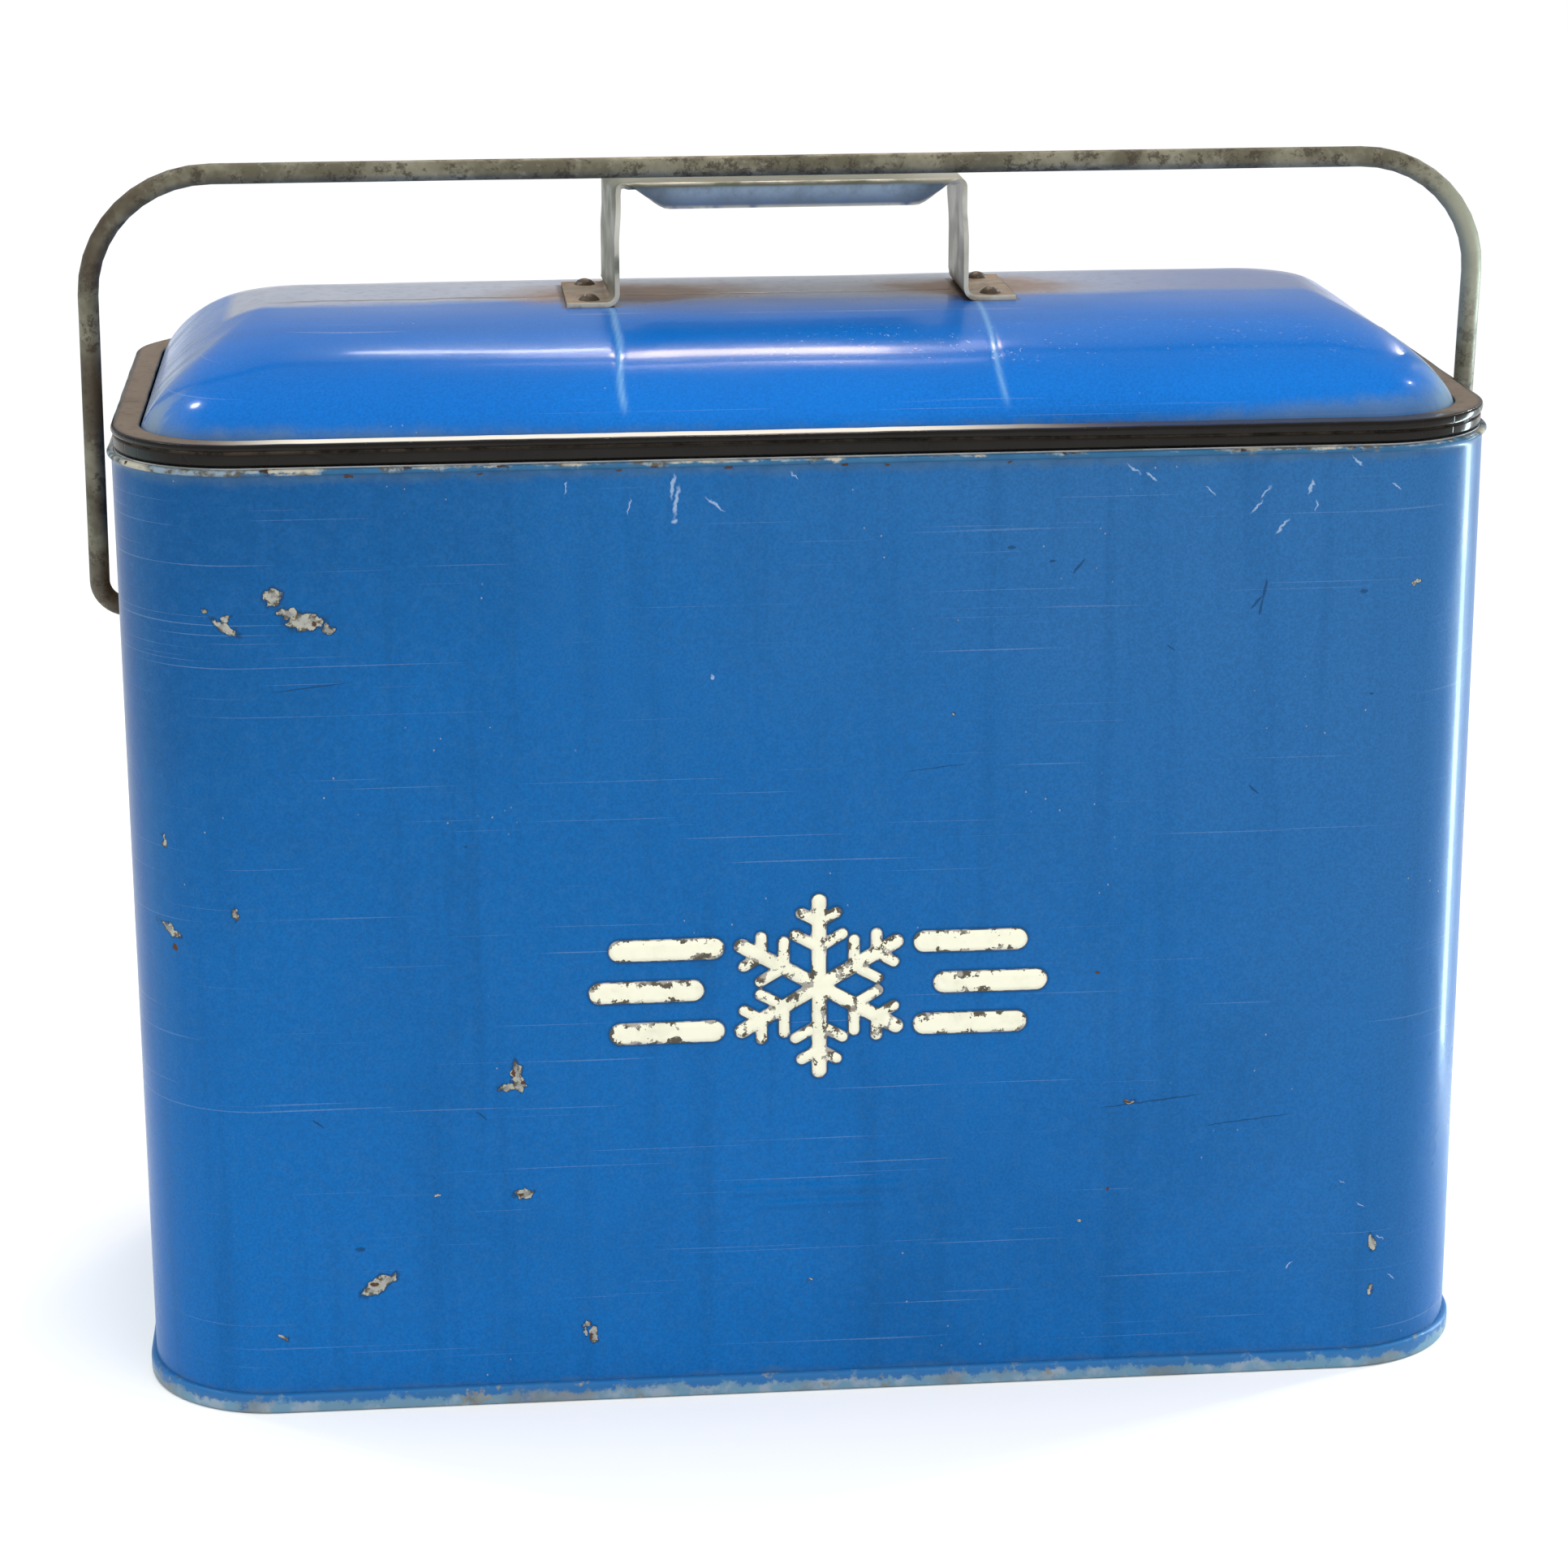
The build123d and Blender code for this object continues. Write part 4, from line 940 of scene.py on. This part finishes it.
def make_gasket():
    """Rubber channel: a tall black face, a dirty groove, a round upper bead and a flat lip."""
    low, high, out = gasket_low[2], gasket_high[2], GASKET_OUT
    groove_z = high - GROOVE_DROP
    outline = [
        (out - 8.5, low), (out - 2.2, low), (out - 0.9, low + 0.2), (out - 0.6, low + 1),
        (out - 0.6, groove_z - 1), (out - 0.75, groove_z - 0.35), (out - 1.5, groove_z),
        (out - 0.55, groove_z + 0.35), (out, high - 1.7), (out, high - 0.8),
        (out - 0.3, high - 0.15), (out - 1.4, high), (out - 5, high + 0.05),
        (out - 8.8, high), (out - 9.7, high - 0.4), (out - 9.7, high - 1.5),
        (out - 5, high - 1.55), (out - 2.5, high - 1.6), (out - 2.5, high - 2.8),
        (out - 8.5, high - 2.8),
    ]
    profile = chaikin(outline, 2)
    places = places_round(even_cuts(96), even_cuts(40), 22)
    rows = band_rows(places, profile)
    spread, height = profile[:, :1] - out, profile[:, 1:]
    walk = np.cumsum(np.hypot(*np.diff(rows[0, :, :2], axis=0, prepend=rows[0, -1:, :2]).T))
    sway = ripple(walk, walk * 0.3, (173, 61, 29), (0.5, 1.7, 3.3))
    push_out(rows, places, 0.18 * sway)
    lift = 0.14 * ripple(walk + 31, walk * 0.2, (141, 47, 19), (2.5, 0.7, 1.3))
    rows[:, :, 2] += lift * ease(height, low + 3.5, high)
    slip = ease(rows[:, :, 0], 0, 150) * (rows[:, :, 1] < 0)
    rows[:, :, 2] -= GROOVE_SAG * slip * bell(height, groove_z, 1.3)
    on_side = (spread > -1.9).astype(float)
    grooved = bell(height, groove_z, 0.42) * on_side
    on_lip = ease(height, high - 0.5, high - 0.05) * (1 - ease(spread, -2.2, -0.9))
    flat = np.ones(len(places))
    attributes = {"groove": grooved * flat, "lip": on_lip * flat}
    gasket = grid_mesh("gasket_channel", rows, True, attributes)
    tidy_mesh(gasket, sharp=70)
    hand_over(gasket, "lid", "lid_gasket", "gasket_rubber")


# --- wire bail and strap handle ---
def filleted(points, radii, arc_steps=10):
    """A polyline in the plane, its inner corners turned into arcs."""
    points = [np.array(p, float) for p in points]
    path = [points[0]]
    for before, at, after, radius in zip(points, points[1:], points[2:], radii):
        into = (before - at) / np.linalg.norm(before - at)
        away = (after - at) / np.linalg.norm(after - at)
        half = np.arccos(np.clip(into @ away, -1, 1)) / 2
        reach = radius / tan(half)
        centre = at + (into + away) / np.linalg.norm(into + away) * radius / sin(half)
        start, end = at + into * reach, at + away * reach
        first = np.arctan2(*(start - centre)[::-1])
        swing = np.arctan2(*(end - centre)[::-1]) - first
        swing = (swing + pi) % (2 * pi) - pi
        for step in range(arc_steps + 1):
            angle = first + swing * step / arc_steps
            path.append(centre + radius * np.array([cos(angle), sin(angle)]))
    path.append(points[-1])
    return np.array(path)


def spaced(path, gap):
    """The same path with extra points, none further apart than gap."""
    spread = [path[0]]
    for start, end in zip(path, path[1:]):
        count = max(1, int(np.ceil(np.linalg.norm(end - start) / gap)))
        spread += [start + (end - start) * (i + 1) / count for i in range(count)]
    return np.array(spread)


ROD_RADIUS = 3.57
PIN_END = 227.5
FOOT_BEND = 10
BAIL_CORNER = 44
BAIL_TOP_HALF = 242.8
BAIL_SIDES = 28
BAIL_WOBBLE = 0.35
RIGHT_LEG_IN = 0.9


def make_bail():
    """The wire handle in its own leaning plane, a little bent and pitted by use."""
    pivot = np.array(bail_joint["pos_m"]) / MM
    foot = bail_high[0] - ROD_RADIUS
    bar = np.array([0, bail_low[1] + ROD_RADIUS - pivot[1], bail_high[2] - ROD_RADIUS - pivot[2]])
    leg = np.linalg.norm(bar)
    along = bar / leg
    out_of_plane = np.cross([1, 0, 0], along)
    corners = [(-PIN_END, 0), (-foot, 0), (-BAIL_TOP_HALF, leg)]
    corners += [(-x, v) for x, v in corners[::-1]]
    path = spaced(filleted(corners, (FOOT_BEND, BAIL_CORNER, BAIL_CORNER, FOOT_BEND)), 6)
    path[:, 0] -= RIGHT_LEG_IN * ease(path[:, 0], 150, 235) * ease(path[:, 1], 12, 60)
    tangent = np.gradient(path, axis=0)
    tangent /= np.linalg.norm(tangent, axis=1)[:, None]
    side = np.stack([-tangent[:, 1], tangent[:, 0]], axis=1)
    walk = np.cumsum(np.linalg.norm(np.diff(path, axis=0, prepend=path[:1]), axis=1))
    angles = np.arange(BAIL_SIDES) * 2 * pi / BAIL_SIDES
    wobble = BAIL_WOBBLE * ripple(walk, walk * 0.5, (310, 170, 90), (0.2, 1.1, 2.4))
    wobble *= ease(walk, 40, 120) * (1 - ease(walk, walk[-1] - 120, walk[-1] - 40))
    rows = []
    for (u, v), (side_u, side_v), shift in zip(path, side, wobble):
        centre = pivot + np.array([u, 0, 0]) + v * along + shift * out_of_plane
        across = np.array([side_u, 0, 0]) + side_v * along
        rows.append([
            centre + ROD_RADIUS * (cos(a) * across + sin(a) * out_of_plane) for a in angles
        ])
    rows = np.array(rows)
    first, last = rows[0].mean(0), rows[-1].mean(0)
    starts = [first + (rows[0] - first) * share for share in (0, 0.85)]
    ends = [last + (rows[-1] - last) * share for share in (0.85, 0)]
    bail = grid_mesh("bail_wire", np.concatenate([starts, rows, ends]), False, {})
    tidy_mesh(bail, merge=0.001 * MM, sharp=60)
    hand_over(bail, "bail", "bail_handle", "bail_steel")


GRIP_DROP = 9
FOLD_RADIUS = 2.4
FOLD_ENDS = (52, 59)
DROP_ENDS = (43, 56)
STRAP_BENDS = (3, 3.8, 3.8, 3)
LEFT_SPLAY = -2.4
RIGHT_SPLAY = 1.2
LEG_CURL = 0.8


def strap_section(folded, drop):
    """Half of the strap's width at one place: (across, sink) in mm, and how pale its edge is
    painted: wear on the cut edges and a painted highlight along the fold.
    """
    flat_half = STRAP_HALF - FOLD_RADIUS
    half = [(flat_half * t, 0) for t in np.linspace(0, 1, 8)]
    for t in np.linspace(0, 1, 7)[1:]:
        bent = folded * sin(t * pi / 2) + (1 - folded) * t
        half.append((flat_half + FOLD_RADIUS * bent, folded * FOLD_RADIUS * (1 - cos(t * pi / 2))))
    for t in np.linspace(0, 1, 6)[1:]:
        half.append((STRAP_HALF + (1 - folded) * 0.1 * t, folded * FOLD_RADIUS + drop * t))
    wear_and_highlight = []
    for i in range(len(half)):
        edge = ease(i, 9.6, 12) * (1 - folded)
        wear_and_highlight.append(max(edge, folded * bell(i, 9, 1.1)))
    wear_and_highlight[-1] = 1.0
    return half, wear_and_highlight


def make_strap():
    """The lid's handle: one strap bent in five runs, its grip's long edges folded down."""
    foot, low = strap_high[0], STRAP_FOOT_Z + STRAP_SHEET
    corners = [(-foot, low), (-STRAP_LEG, low), (-STRAP_LEG, STRAP_TOP)]
    corners += [(-x, z) for x, z in corners[::-1]]
    path = spaced(filleted(corners, STRAP_BENDS, 8), 2)
    tangent = np.gradient(path, axis=0)
    tangent /= np.linalg.norm(tangent, axis=1)[:, None]
    normal = np.stack([-tangent[:, 1], tangent[:, 0]], axis=1)
    rows, folds, edges = [], [], []
    for (x, z), out in zip(path, normal):
        on_top = ease(z, STRAP_TOP - 3, STRAP_TOP - 0.5)
        folded = on_top * (1 - ease(abs(x), *FOLD_ENDS))
        drop = on_top * (1 - ease(abs(x), *DROP_ENDS)) * (GRIP_DROP - FOLD_RADIUS)
        half, wear_and_highlight = strap_section(folded, drop)
        in_leg = ease(z, low - 0.2, low + 2) * (1 - on_top)
        splay = in_leg * (LEFT_SPLAY if x < 0 else RIGHT_SPLAY)
        curl = in_leg * LEG_CURL * ease(z, STRAP_TOP - 22, STRAP_TOP - 8)
        curl *= 1 if x < 0 else -1
        row = []
        for sign, places in ((-1, half[::-1]), (1, half[1:])):
            for y, sink in places:
                lean = splay * (sign * y / STRAP_HALF + 1) / 2 + curl * ease(y, 19, 25)
                row.append((x - out[0] * sink + lean, sign * y, z - out[1] * sink))
        rows.append(row)
        sinks = [sink for _, sink in half]
        folds.append(sinks[::-1] + sinks[1:])
        edges.append(wear_and_highlight[::-1] + wear_and_highlight[1:])
    strap = sheet_mesh("strap_handle", np.array(rows), {"fold_mm": folds, "edge": edges})
    sheet = strap.modifiers.new("sheet", "SOLIDIFY")
    set_all(sheet, thickness=STRAP_SHEET * MM, offset=-1, use_even_offset=True)
    edge = strap.modifiers.new("edges", "BEVEL")
    set_all(edge, width=0.4 * MM, segments=3, limit_method="ANGLE", angle_limit=radians(50))
    hand_over(strap, "lid", "lid_handle", "strap_steel")


# --- floor, light and camera ---
def make_floor():
    """A plain pale floor, level and wide."""
    rows = [[(x / MM, y / MM, -0.05) for x in (-15, 0, 15)] for y in (-15, 0, 15)]
    floor = sheet_mesh("studio_floor", np.array(rows), {})
    s = Shader("studio_floor", roughness=0.95, specular=0)
    s.colour = (0.90, 0.90, 0.90)
    floor.data.materials.append(s.finish())


def light_up(name, lamp, place, target, mirrored):
    """Hangs a lamp at place, facing target; mirrored ones show in glossy paint."""
    obj = bpy.data.objects.new(name, lamp)
    obj.location = place
    obj.rotation_euler = (Vector(target) - Vector(place)).to_track_quat("-Z", "Y").to_euler()
    obj.visible_camera = False
    obj.visible_glossy = mirrored
    bpy.context.scene.collection.objects.link(obj)


WORLD_STRENGTH = 0.50
CEILING_STRENGTH = 2.1
CEILING_SPREAD = 75
CEILING_PLACE = (-0.15, -0.9, 2.6)
WHITE = (1, 1, 1)
BODY_MIDDLE = (0, 0, 0.2)
LID_FRONT = (-0.02, -0.072, 0.3667)
RIGHT_CORNER = (0.1, -0.1, 0.17)
LEFT_CORNER = (-0.1, -0.1, 0.17)
# Soft boxes: name, place, target, size, power, colour, and whether glossy paint mirrors them.
SOFT_BOXES = (
    ("key", (-0.9, -2.2, 1.6), BODY_MIDDLE, (1.6, 1.2), 11, WHITE, False),
    ("fill", (1.4, -2, 1.2), BODY_MIDDLE, (1.2, 1.2), 8, WHITE, False),
    ("right_strip", (0.52, 0.04, 0.17), RIGHT_CORNER, (0.05, 0.34), 1.7, (0.75, 0.95, 1), True),
    ("left_strip", (-0.54, -0.02, 0.17), LEFT_CORNER, (0.20, 0.34), 0.12, (0.25, 0.9, 1), True),
    ("lid_glint", (0.066, 0.59, 1.12), LID_FRONT, (0.155, 0.13), 1.5, (1, 0.80, 0.48), True),
    ("lid_line", (-0.09, 0.60, 0.985), LID_FRONT, (0.16, 0.018), 0.30, WHITE, True),
    ("lid_sheen", (0.066, 0.61, 1.14), LID_FRONT, (0.30, 0.22), 0.8, (0.95, 0.82, 1), True),
    ("left_spark", (-0.805, 0.331, 1.302), (-0.204, -0.093, 0.354), (0.09, 0.09), 2, WHITE, True),
    ("right_spark", (0.786, 0.847, 0.853), (0.205, -0.080, 0.360), (0.06, 0.06), 1.2, WHITE, True),
    ("right_dot", (0.960, 0.306, 1.194), (0.203, -0.095, 0.353), (0.03, 0.03), 0.5, WHITE, True),
)


def make_light():
    """Even white light from all round and above, and the soft boxes."""
    world = bpy.data.worlds.new("studio")
    world.use_nodes = True
    background = world.node_tree.nodes["Background"]
    background.inputs["Color"].default_value = (1, 1, 1, 1)
    background.inputs["Strength"].default_value = WORLD_STRENGTH
    bpy.context.scene.world = world
    ceiling = bpy.data.lights.new("ceiling", "SUN")
    set_all(ceiling, energy=CEILING_STRENGTH, angle=radians(CEILING_SPREAD))
    light_up("ceiling", ceiling, CEILING_PLACE, (0, 0, 0), False)
    for name, place, target, size, power, colour, mirrored in SOFT_BOXES:
        lamp = bpy.data.lights.new(name, "AREA")
        set_all(lamp, shape="RECTANGLE", size=size[0], size_y=size[1], energy=power, color=colour)
        light_up(name, lamp, place, target, mirrored)


CAMERA_PLACE = (-0.1320, -1.4016, 0.5983)
CAMERA_YAW = 5.33
CAMERA_PITCH = 16.15
CAMERA_ROLL = -0.19
CAMERA_LENS = 91.17


def make_camera():
    yaw, pitch, roll = radians(CAMERA_YAW), radians(CAMERA_PITCH), radians(CAMERA_ROLL)
    ahead = Vector((sin(yaw) * cos(pitch), cos(yaw) * cos(pitch), -sin(pitch)))
    level = Vector((cos(yaw), -sin(yaw), 0))
    upward = level.cross(ahead)
    right = level * cos(roll) + upward * sin(roll)
    up = upward * cos(roll) - level * sin(roll)
    camera = bpy.data.objects.new("camera", bpy.data.cameras.new("camera"))
    turn = Matrix((right, up, -ahead)).transposed().to_4x4()
    camera.matrix_world = Matrix.Translation(CAMERA_PLACE) @ turn
    camera.data.lens = CAMERA_LENS
    camera.data.sensor_width = 36
    bpy.context.scene.collection.objects.link(camera)
    bpy.context.scene.camera = camera


make_camera()
dress_cad_nodes()
make_shell()
make_lid()
make_gasket()
make_bail()
make_strap()
make_floor()
make_light()
bpy.context.scene.view_settings.view_transform = "Standard"
